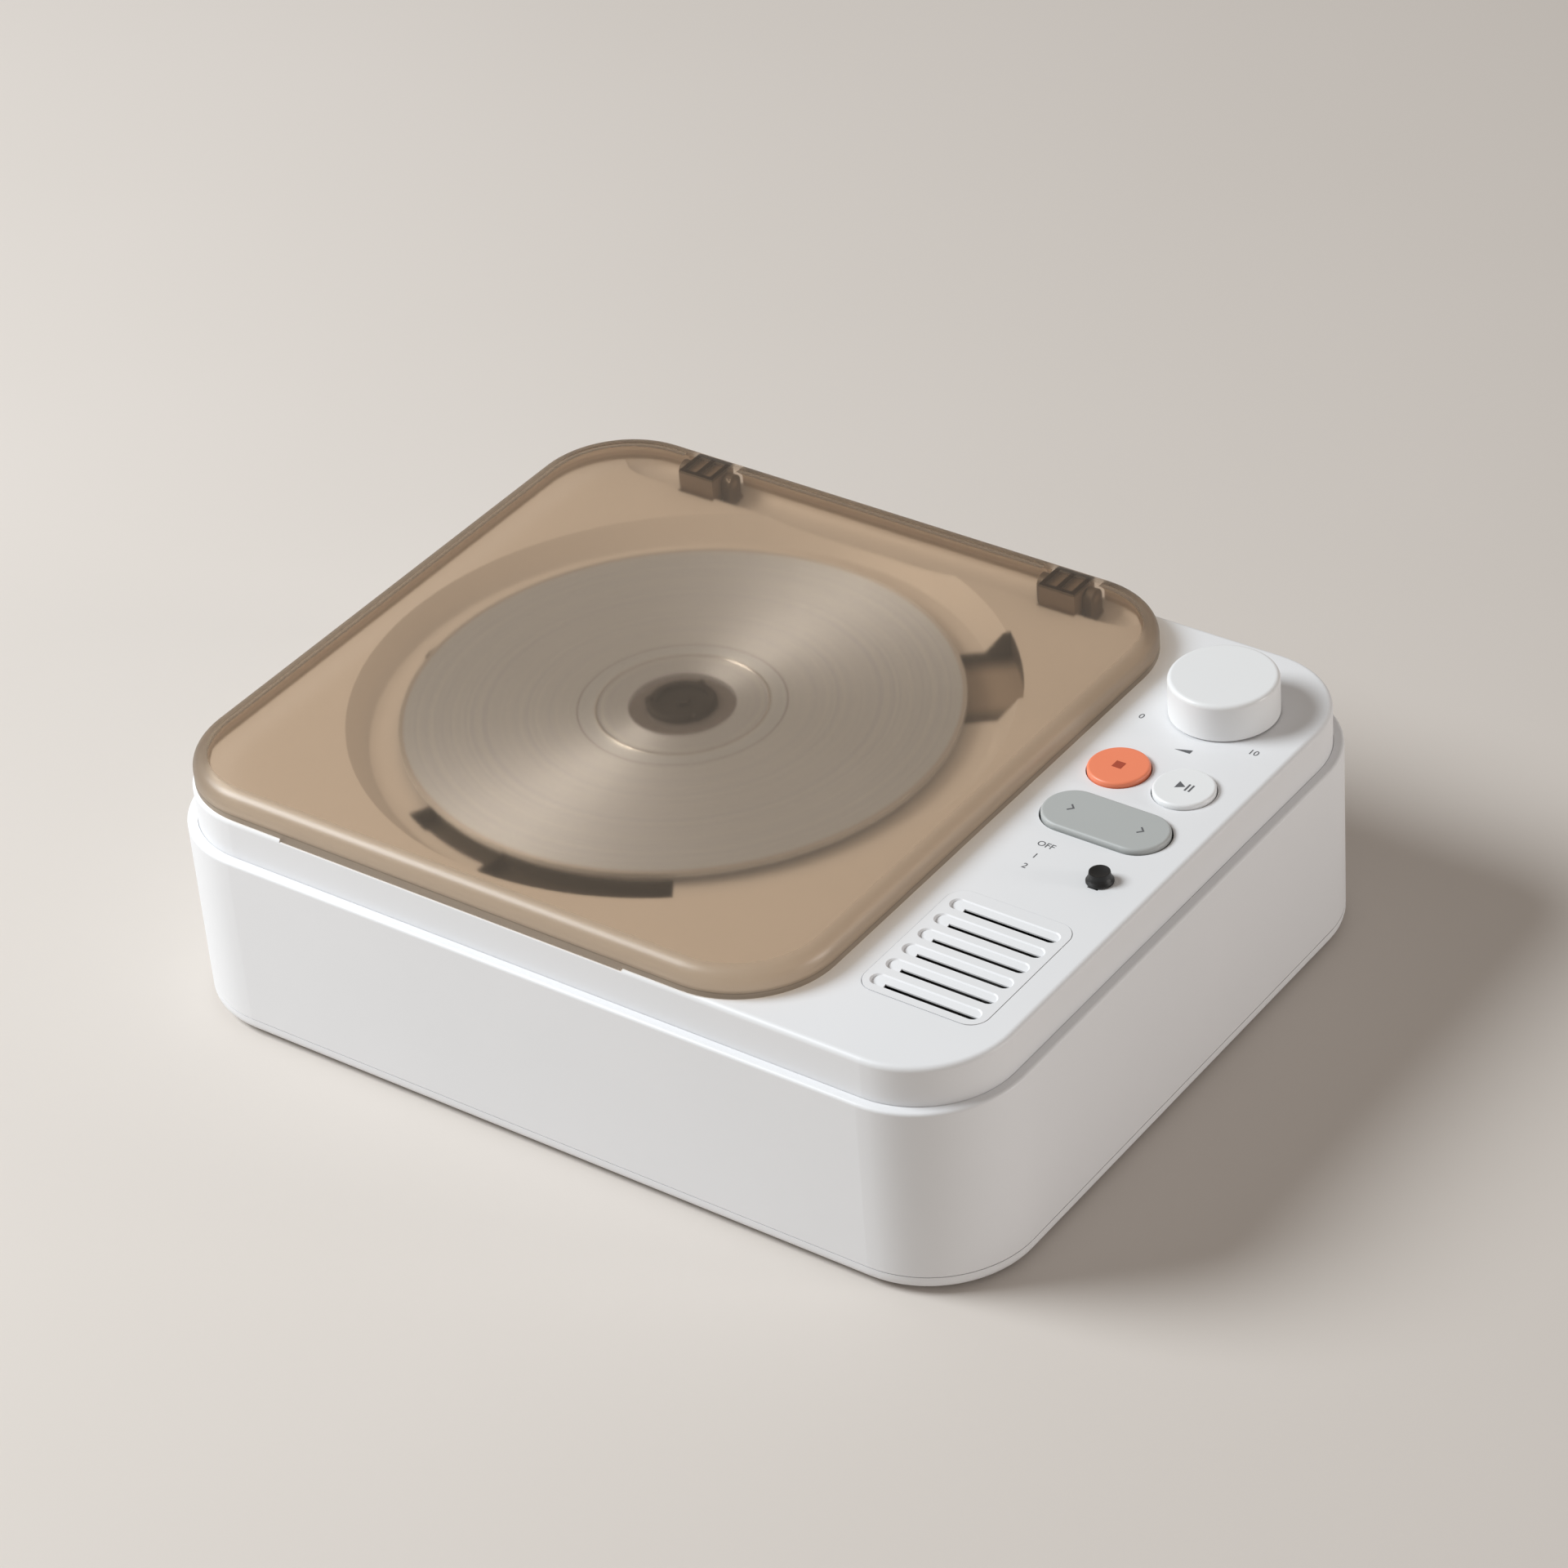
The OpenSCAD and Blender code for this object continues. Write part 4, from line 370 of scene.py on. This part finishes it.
# %% Lamp rays, bounced rays, dye and lugs
SCATTER_SHARE = 0.35
DYE_DENSITY = 120.0
THROUGH_TOP = (1.0, 0.949, 0.889)
LUG_TOP_Z = (58.9, 62.0)
ray = smoke.add("ShaderNodeLightPath")
scattered = smoke.add("ShaderNodeBsdfTranslucent", None, {"Color": (0.97, 0.92, 0.86, 1)})["BSDF"]
for_bounces = smoke.mixed(SCATTER_SHARE, smoke.clear(*THROUGH_TOP), scattered)
through_lamp = smoke.clear(*(c * (1 - SCATTER_SHARE) for c in THROUGH_TOP))
for_lamps = smoke.mixed(rim, through_lamp, smoke.clear(0.70, 0.68, 0.66))
seen_or_bounced = smoke.mixed(ray["Is Diffuse Ray"], glass, for_bounces)
lid_surface = smoke.mixed(ray["Is Shadow Ray"], seen_or_bounced, for_lamps)
smoke.links.new(lid_surface.socket, smoke.output.inputs["Surface"])
dye = smoke.add("ShaderNodeVolumeAbsorption", None, {"Color": (0.29, 0.17, 0.0, 1), "Density": DYE_DENSITY})
smoke.links.new(dye["Volume"].socket, smoke.output.inputs["Volume"])
finishes["lid_smoke"] = smoke
lug = moulded("lug_brown", tint(127, 113, 99), tint(118, 104, 90), 0.4, grain_mm=0.25)
lug_height = lug.add("ShaderNodeSeparateXYZ", None, {"Vector": lug.place()})["Z"] / MM
lug.surface(base_color=lug.blend(lug_height.between(*LUG_TOP_Z, 0.3), lug.colour, tint(78, 67, 57)))
print("dye density", DYE_DENSITY, "per metre, and", SCATTER_SHARE, "of the light under the lid is scattered")

# %% [markdown]
# ## The disc
# A disc is 1.2 mm of clear polycarbonate with a thin layer of aluminium under its label side. From the edge the
# bands are: a narrow dull rim, the recorded band, a mirror band, and the clear hub round the hole. The spiral
# track is far finer than a pixel. It works like brushed metal whose scratches run round the centre, so a lamp
# is smeared into two fans that face each other. The shader's anisotropy does exactly this, because its
# direction runs round the middle of the piece by itself. Faint rings of brightness come from noise that only
# sees the radius. The bands are told apart by the radius too, in mm.

# %% Rings and fans
DISC_CENTRE = (-22.4, 2.9, 52.0)
HOLE_SIDE, CLEAR_END, MIRROR_END, RECORDED_END, DISC_END = 11.5, 18.4, 22.3, 59.0, 61.0
INNER_RING, OUTER_RING = (18.1, 18.7), (22.1, 22.45)
RIDGE_OUT, RIDGE_IN, RING_SLOPE = (18.45, 18.9), (17.9, 18.35), 0.8
disc = Finish("disc_silver")
on_disc = disc.place(DISC_CENTRE)
radius = disc.radius(on_disc) / MM
rings = disc.add("ShaderNodeTexNoise", {"noise_dimensions": "1D"},
                 {"W": radius, "Scale": 0.8, "Detail": 6.0, "Roughness": 0.75})[0]
rings = ((rings - 0.5) * 1.6).math("ADD", 0.5, clamp=True)
mirror_band, rim_band = radius.between(CLEAR_END, MIRROR_END, 0.2), radius.between(RECORDED_END, DISC_END, 0.2)
inner_ring, outer_ring = radius.between(*INNER_RING, 0.4), radius.between(*OUTER_RING, 0.15)
recorded = disc.blend(rings, tint(197, 213, 240), tint(229, 243, 255))
banded = disc.blend(mirror_band * 0.5, recorded, tint(212, 229, 250))
# Painted highlight: the ridge's ring is painted lighter all round.
ridge_painted_highlight = disc.blend(inner_ring * 0.5, banded, tint(240, 248, 255))
lined = disc.blend(outer_ring * 0.5, ridge_painted_highlight, tint(116, 114, 112))
edged = disc.blend(rim_band * 0.6, lined, tint(200, 196, 190))
print("the recorded band runs from", MIRROR_END, "to", RECORDED_END, "mm")

# %% [markdown]
# ## The ridge and the clear hub
# A low round ridge keeps stacked discs apart. It is drawn by leaning the normal: outward on its outer slope and
# inward on its inner one. The hub inside the mirror band has no metal under it. It is clear plastic over the grey
# turntable, so it is mostly see-through with a little of its own gloss, and least so where the mirror begins.

# %% Leaning normal and clear hub
outward = radius.between(*RIDGE_OUT, 0.1) - radius.between(*RIDGE_IN, 0.1)
lean = disc.add("ShaderNodeVectorMath", {"operation": "SCALE"},
                {"Vector": on_disc, "Scale": outward * RING_SLOPE / (radius * MM)})[0]
lean = disc.add("ShaderNodeVectorTransform", {"convert_from": "OBJECT", "convert_to": "WORLD"}, {"Vector": lean})[0]
upright = disc.add("ShaderNodeNewGeometry")["Normal"]
sloped = disc.add("ShaderNodeVectorMath", {"operation": "ADD"}, {0: upright, 1: lean})[0]
sloped = disc.add("ShaderNodeVectorMath", {"operation": "NORMALIZE"}, {0: sloped})[0]
disc.surface(base_color=edged, metallic=0.5, roughness=0.63 + (rings - 0.5) * 0.3 - inner_ring * 0.36,
             anisotropic=0.75, anisotropic_rotation=0.25, normal=sloped)
gloss = disc.add("ShaderNodeBsdfPrincipled", None,
                 {"Base Color": tint(190, 193, 204), "Roughness": 0.2, "IOR": 1.55})["BSDF"]
clear_hub = disc.mixed(0.66, gloss, disc.clear(0.8, 0.8, 0.81))
see_through = radius.between(-1.0, HOLE_SIDE, 0.15) + radius.between(HOLE_SIDE, CLEAR_END, 0.2) * 0.14
disc_surface = disc.mixed(see_through, Wire(disc, disc.shader.outputs[0]), clear_hub)
disc.links.new(disc_surface.socket, disc.output.inputs["Surface"])
finishes["disc_silver"] = disc
print("the hub is clear out to", HOLE_SIDE, "mm and silvery from there on")

# %% [markdown]
# ## Metal
# The inside is seldom seen, through the well, the slots of the loudspeaker or when the player is opened, but a
# learner should be able to open it. Screws, pins, rods and motor cans are plated steel with fine turning marks,
# and the loudspeaker's magnet is dull grey ferrite.

# %% Steel and ferrite
MARKS_MM = 0.4


def metal(name, light, dark, rough):
    """Plated metal: two near tones in fine turning marks, stretched along the piece's upright axis."""
    made = Finish(name)
    marks = made.grain(MARKS_MM, detail=4, place=made.place(stretch=(1, 1, 6)))
    made.surface(base_color=made.blend(marks, dark, light), metallic=1.0,
                 roughness=rough + (marks - 0.5) * 0.16, normal=made.bump(marks, 0.003, 0.5))
    finishes[name] = made


metal("steel", tint(214, 214, 216), tint(190, 190, 193), 0.28)
metal("magnet_grey", tint(120, 120, 124), tint(96, 96, 100), 0.45)
print("metals: steel and magnet_grey")

# %% [markdown]
# ## Circuit boards
# Boards are green solder mask over copper tracks, which show as slightly raised paths. Cells of a Voronoi pattern
# whose distance is measured along straight steps have edges that run like such tracks. Where an edge is near, the
# colour is lighter and the surface stands higher.

# %% Boards
CELLS_PER_METRE = 240.0


def board(name, mask, track):
    """Solder mask with raised tracks: the edges of the cells are the tracks."""
    made = Finish(name)
    cells = made.add("ShaderNodeTexVoronoi", {"distance": "MANHATTAN", "feature": "DISTANCE_TO_EDGE"},
                     {"Vector": made.place(), "Scale": CELLS_PER_METRE})[0]
    tracks = cells.between(-1.0, 0.07, 0.02)
    fine = made.grain(0.5)
    made.surface(base_color=made.blend(tracks * 0.7, mask, track), roughness=0.32 + fine * 0.1,
                 normal=made.bump(tracks, 0.02, 0.6))
    finishes[name] = made


board("board_green", tint(22, 84, 52), tint(56, 128, 84))
print("boards: one track pattern of", CELLS_PER_METRE, "cells per metre")

# %% [markdown]
# ## Paper, silicone, film and lens
# The loudspeaker's cone is matt pressed paper, and the chips are matt moulded resin. The domes under the buttons are
# milky silicone rubber. Flat cables are glossy amber film, and the pickup's lens is smooth coated glass.

# %% Paper, silicone, film and lens
moulded("cone_paper", tint(70, 68, 66), tint(54, 52, 50), 0.85, grain_mm=0.6, depth_mm=0.03)
moulded("chip_black", tint(34, 34, 36), tint(24, 24, 26), 0.5, grain_mm=0.15)
moulded("dome_silicone", tint(196, 198, 200), tint(186, 188, 190), 0.55, grain_mm=0.3)
moulded("flex_amber", tint(186, 116, 44), tint(170, 100, 36), 0.3, grain_mm=0.6)
lens = moulded("lens_glass", tint(120, 132, 190), tint(96, 108, 170), 0.06, grain_mm=0.5, spread=0.02)
lens.surface(coat_weight=0.8)
print("finishes in all:", len(finishes))

# %% [markdown]
# ## Dress every solid
# The imported record says which finish each solid has. A solid keeps its mesh, and only what is in its material
# slot changes. Two small steel parts sit deep in shade between dark ones, and that shade is painted by giving them
# the dark finish of what holds them: the hub's balls, and the hinge pins in their lugs.

# %% One finish for each node
slot_of = {part["node"]: part["material_slot"] for part in frame["record"]["subparts"]}
# Painted shade: these steel parts get the dark finishes of the hub and the lugs in place of steel.
slot_of["hub_balls"] = "hub_dark"
slot_of["hinge_pins"] = "lug_brown"
for node, solid in frame["nodes"].items():
    solid.data.materials.clear()
    solid.data.materials.append(finishes[slot_of[node]].material)
print("dressed", len(frame["nodes"]), "solids")

# %% [markdown]
# ## New pieces as prisms
# The louvres and the printed signs are all flat outlines given a thickness. One function makes them, from the
# outline's points in one go, and another puts a finished mesh into the scene: it rides on the body that carries
# it, and it says which finish of the record it shares.


# %% Prisms
def add_piece(name, mesh, body, finish):
    """A new object of that mesh at the origin, with its finish, on its body."""
    piece = bpy.data.objects.new(name, mesh)
    bpy.context.scene.collection.objects.link(piece)
    mesh.materials.clear()
    mesh.materials.append(finish.material)
    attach(piece, body)


def prisms(name, blocks, body, finish):
    """Closed prisms: each block is an outline, and the heights of its foot and of its top. The outline's points
    are repeated at both heights, two faces close it, and one wall joins each pair of neighbours. The outlines run
    anticlockwise, in mm, and a height is one number or one for each point."""
    points, faces, first = [], [], 0
    for outline, foot_z, top_z in blocks:
        ring = np.asarray(outline, float)
        count = len(ring)
        points += [np.column_stack([ring, np.broadcast_to(z, count)]) for z in (foot_z, top_z)]
        near = first + np.arange(count)
        after = first + (np.arange(count) + 1) % count
        walls = np.column_stack([near, after, after + count, near + count])
        faces += [near[::-1].tolist(), (near + count).tolist(), *walls.tolist()]
        first += 2 * count
    mesh = bpy.data.meshes.new(name)
    mesh.from_pydata((np.concatenate(points) * MM).tolist(), [], faces)
    add_piece(name, mesh, body, finish)
    print(name, "has", len(faces), "faces")


# %% [markdown]
# ## Louvres in the loudspeaker's slots
# Behind each slot of the grille a thin blade slopes down from the far edge towards the near one and stops short
# of it. Sound leaves through the narrow gap that is left, and dust and eyes stay out: from the front only a
# thin dark line shows. The mould gives such blades for nothing, because they can be drawn straight out. Their
# outline is the slot's own, two half circles joined by straight sides, with the near side moved back. A blade is
# that outline at two heights, and both fall evenly towards the near side, so its faces stay flat.

# %% Six louvres in the grille
SLOT_COUNT, SLOT_PITCH, SLOT_SHIFT, SLOT_HALF_RUN = 6, 5.6, 0.6, 11.0
GRILLE_MIDDLE = (78.95, -41.7)
BLADE_RADIUS = 1.54
BLADE_THICK, BLADE_SET_BACK, BLADE_FALL = 0.35, 0.25, 0.27
GAP_LEFT, GAP_NEAR = -9.4, 0.0
RIGHT_POINTS, LEFT_POINTS = 14, 19


def louvre():
    """The outline of one blade round its slot's middle. Its half circles are the radius times cosine and sine of
    the angle past each end, and the right one starts where the gap's height meets it."""
    start = np.arcsin(GAP_NEAR / BLADE_RADIUS)
    right = start + np.linspace(0, 1, RIGHT_POINTS) * (math.pi / 2 - start)
    left = np.linspace(0.5, 1.5, LEFT_POINTS) * math.pi
    return np.vstack([
        np.column_stack([SLOT_HALF_RUN + BLADE_RADIUS * np.cos(right), BLADE_RADIUS * np.sin(right)]),
        np.column_stack([-SLOT_HALF_RUN + BLADE_RADIUS * np.cos(left), BLADE_RADIUS * np.sin(left)]),
        [(GAP_LEFT, -BLADE_RADIUS), (GAP_LEFT, GAP_NEAR)]])


blade = louvre()
grille_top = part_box("speaker_grille")[1].z / MM
blade_top = grille_top - BLADE_SET_BACK - BLADE_FALL * (BLADE_RADIUS - blade[:, 1])
slots_y = [GRILLE_MIDDLE[1] + (k - (SLOT_COUNT - 1) / 2) * SLOT_PITCH - SLOT_SHIFT for k in range(SLOT_COUNT)]
prisms("grille_louvres", [(blade + (GRILLE_MIDDLE[0], y), blade_top - BLADE_THICK, blade_top) for y in slots_y],
       "case", case_white)

# %% [markdown]
# ## Ink and strokes
# The marks on the strip are pad printed: ink of a few hundredths of a millimetre that stands a little proud.
# They are plain figures and signs, and each is an outline given a thickness. A bent line gets its outline from its
# points: each is moved to both sides, and a little further in a bend, so that the line keeps its width.

# %% Ink
INK_MM = 0.04
ink = moulded("ink_grey", tint(104, 105, 108), tint(88, 89, 92), 0.6, grain_mm=0.12)
ink_orange = moulded("ink_orange", tint(178, 78, 52), tint(164, 68, 46), 0.6, grain_mm=0.12)
print("ink stands", INK_MM, "mm proud")


def printed(name, outlines, top_mm, body, finish):
    """Outlines printed on a flat top: prisms that reach as far above it as below."""
    prisms(name, [(outline, top_mm - INK_MM, top_mm + INK_MM) for outline in outlines], body, finish)


def stroke(path, wide):
    """The outline of a bent line: each point is moved half the width to both sides along the mean of its
    neighbours' normals, stretched so that the width stays even in the bend."""
    line = np.asarray(path, float)
    along = np.diff(line, axis=0)
    along /= np.linalg.norm(along, axis=1, keepdims=True)
    side = np.column_stack([-along[:, 1], along[:, 0]])
    mean = np.vstack([side[:1], side[:-1] + side[1:], side[-1:]])
    mean[1:-1] /= np.linalg.norm(mean[1:-1], axis=1, keepdims=True)
    reach = wide / 2 / np.concatenate([[1], (mean[1:-1] * side[1:]).sum(1), [1]])
    edge = mean * reach[:, None]
    return np.vstack([line - edge, (line + edge)[::-1]])


# %% [markdown]
# ## Signs on the buttons and the wedge
# A square means stop, a triangle with two bars means play and pause, and two arrow heads mark the two skips. On the
# deck a rising wedge means loudness. The buttons' own tops give the heights, and each sign rides with its button.

# %% Square, triangle with bars, arrow heads and wedge
ARROW_HALF, ARROW_WIDE = 1.0, 0.35


def box(x0, x1, y0, y1):
    """An upright rectangle's corners, anticlockwise."""
    return [(x0, y0), (x1, y0), (x1, y1), (x0, y1)]


def arrow(x, y):
    """An arrow head that points to +X, from half a head before its centre to half a head past it."""
    back, tip = x - ARROW_HALF / 2, x + ARROW_HALF / 2
    return stroke([(back, y + ARROW_HALF), (tip, y), (back, y - ARROW_HALF)], ARROW_WIDE)


button_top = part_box("stop_button")[1].z / MM
rocker_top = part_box("skip_rocker")[1].z / MM
printed("mark_stop", [box(70.05, 72.25, 25.3, 27.5)], button_top, "stop", ink_orange)
printed("mark_play", [[(85.1, 25.2), (87.0, 26.4), (85.1, 27.6)], box(87.3, 87.7, 25.2, 27.6),
                      box(88.2, 88.6, 25.2, 27.6)], button_top, "play", ink)
printed("mark_skips", [arrow(70.8, 9.0), arrow(87.2, 9.2)], rocker_top, "rocker", ink)
printed("mark_wedge", [[(77.2, 38.2), (80.8, 38.2), (80.8, 39.5)]], DECK_Z, "case", ink)
print("signs stand on tops at", round(button_top, 2), "and", round(rocker_top, 2), "mm")

# %% [markdown]
# ## Figures on the deck
# 0 and 10 stand where the knob's turn begins and ends, and OFF, 1 and 2 beside the three places of the slide knob.
# Letters have curved outlines, so they come from a text curve with a thickness that is turned into a mesh.

# %% Figures
KNOB_FIGURE, SLIDE_FIGURE, SLIDE_X = 2.4, 2.3, 72.4


def figures(name, text, x, y, height):
    """Figures centred at a place on the deck: a text curve with a thickness, made a mesh, scaled to mm and
    moved there, so that the finished object sits at the origin."""
    curve = bpy.data.curves.new(name, "FONT")
    curve.body, curve.size, curve.extrude = text, 1.0, INK_MM / height
    curve.align_x, curve.align_y, curve.resolution_u = "CENTER", "CENTER", 3
    source = bpy.data.objects.new(name + "_curve", curve)
    bpy.context.scene.collection.objects.link(source)
    bpy.context.view_layer.update()
    mesh = bpy.data.meshes.new_from_object(source.evaluated_get(bpy.context.evaluated_depsgraph_get()))
    bpy.data.objects.remove(source)
    mesh.transform(Matrix.Translation((x * MM, y * MM, DECK_Z * MM)) @ Matrix.Scale(height * MM, 4))
    mesh.name = name
    add_piece(name, mesh, "case", ink)


figures("mark_low", "0", 65.1, 44.85, KNOB_FIGURE)
figures("mark_high", "10", 92.0, 44.85, KNOB_FIGURE)
for name, text, y in (("mark_off", "OFF", -3.1), ("mark_one", "1", -7.2), ("mark_two", "2", -11.0)):
    figures(name, text, SLIDE_X, y, SLIDE_FIGURE)
print("figures on the deck: 0, 10, OFF, 1 and 2")

# %% [markdown]
# ## Table
# The player lies on a pale warm table top that runs out of the picture, like a sheet of painted board. Paint dries
# a little uneven: its tone drifts over hand-wide clouds, and a fine skin keeps it from shining.

# %% Table
HALF_TABLE = 3.0
CLOUD_MM, SKIN_MM, SKIN_DEPTH_MM = 160, 0.9, 0.02
table = Finish("table_top")
cloudy = table.grain(CLOUD_MM)
skin = table.grain(SKIN_MM, detail=3)
table.surface(base_color=table.blend(cloudy, tint(208, 201, 194), tint(212, 205, 199)),
              roughness=0.8, normal=table.bump(skin, SKIN_DEPTH_MM, 0.5))
mesh = bpy.data.meshes.new("table_top")
corners = np.array([(-1, -1, 0), (1, -1, 0), (1, 1, 0), (-1, 1, 0)], float) * HALF_TABLE
mesh.from_pydata(corners.tolist(), [], [(0, 1, 2, 3)])
mesh.materials.append(table.material)
table_top = bpy.data.objects.new("table_top", mesh)
bpy.context.scene.collection.objects.link(table_top)
print("table", 2 * HALF_TABLE, "m wide")

# %% [markdown]
# ## Light
# One large soft lamp stands close on the left, in front of the player and above it, so that the light grows weaker
# to the right. A weak one stands low behind on the right, as a bright wall would, and lifts the right side but not
# the table's shadow. The rest of the light comes from everywhere, as in a white room.

# %% Lamps and room
ROOM, ROOM_COLOUR = 0.306, (1.0, 0.912, 0.827, 1)
KEY_FROM, KEY_DISTANCE, KEY_SIZE = Vector((-0.616, -0.372, 0.695)).normalized(), 1.42, 0.68
KEY_SHARE, KEY_COLOUR = 1.11, (0.914, 0.966, 1.0)
SIDE_FROM, SIDE_DISTANCE, SIDE_SIZE = Vector((0.93, 0.34, 0.14)).normalized(), 2.8, 0.7
SIDE_SHARE, SIDE_COLOUR = 0.27, (1.0, 0.97, 0.95)


def soft_lamp(name, towards, distance, size, share, colour):
    """A round lamp that faces the origin. A white surface there that faces the lamp comes out at `share` of white,
    because a disc lamp's light at its axis is its power over pi squared times the distance squared."""
    lamp = bpy.data.objects.new(name, bpy.data.lights.new(name, "AREA"))
    bpy.context.scene.collection.objects.link(lamp)
    lamp.data.shape, lamp.data.size = "DISK", size
    lamp.data.energy = share * math.pi ** 2 * distance ** 2
    lamp.data.color = colour
    lamp.location = towards * distance
    lamp.rotation_euler = towards.to_track_quat("Z", "Y").to_euler()
    print(name, round(lamp.data.energy, 2), "W at", distance, "m")


soft_lamp("key_lamp", KEY_FROM, KEY_DISTANCE, KEY_SIZE, KEY_SHARE, KEY_COLOUR)
soft_lamp("side_lamp", SIDE_FROM, SIDE_DISTANCE, SIDE_SIZE, SIDE_SHARE, SIDE_COLOUR)
world = bpy.data.worlds.new("room")
bpy.context.scene.world = world
world.use_nodes = True
background = world.node_tree.nodes["Background"].inputs
background["Color"].default_value, background["Strength"].default_value = ROOM_COLOUR, ROOM
bpy.context.scene.view_settings.view_transform = "Standard"
print("room light", ROOM)
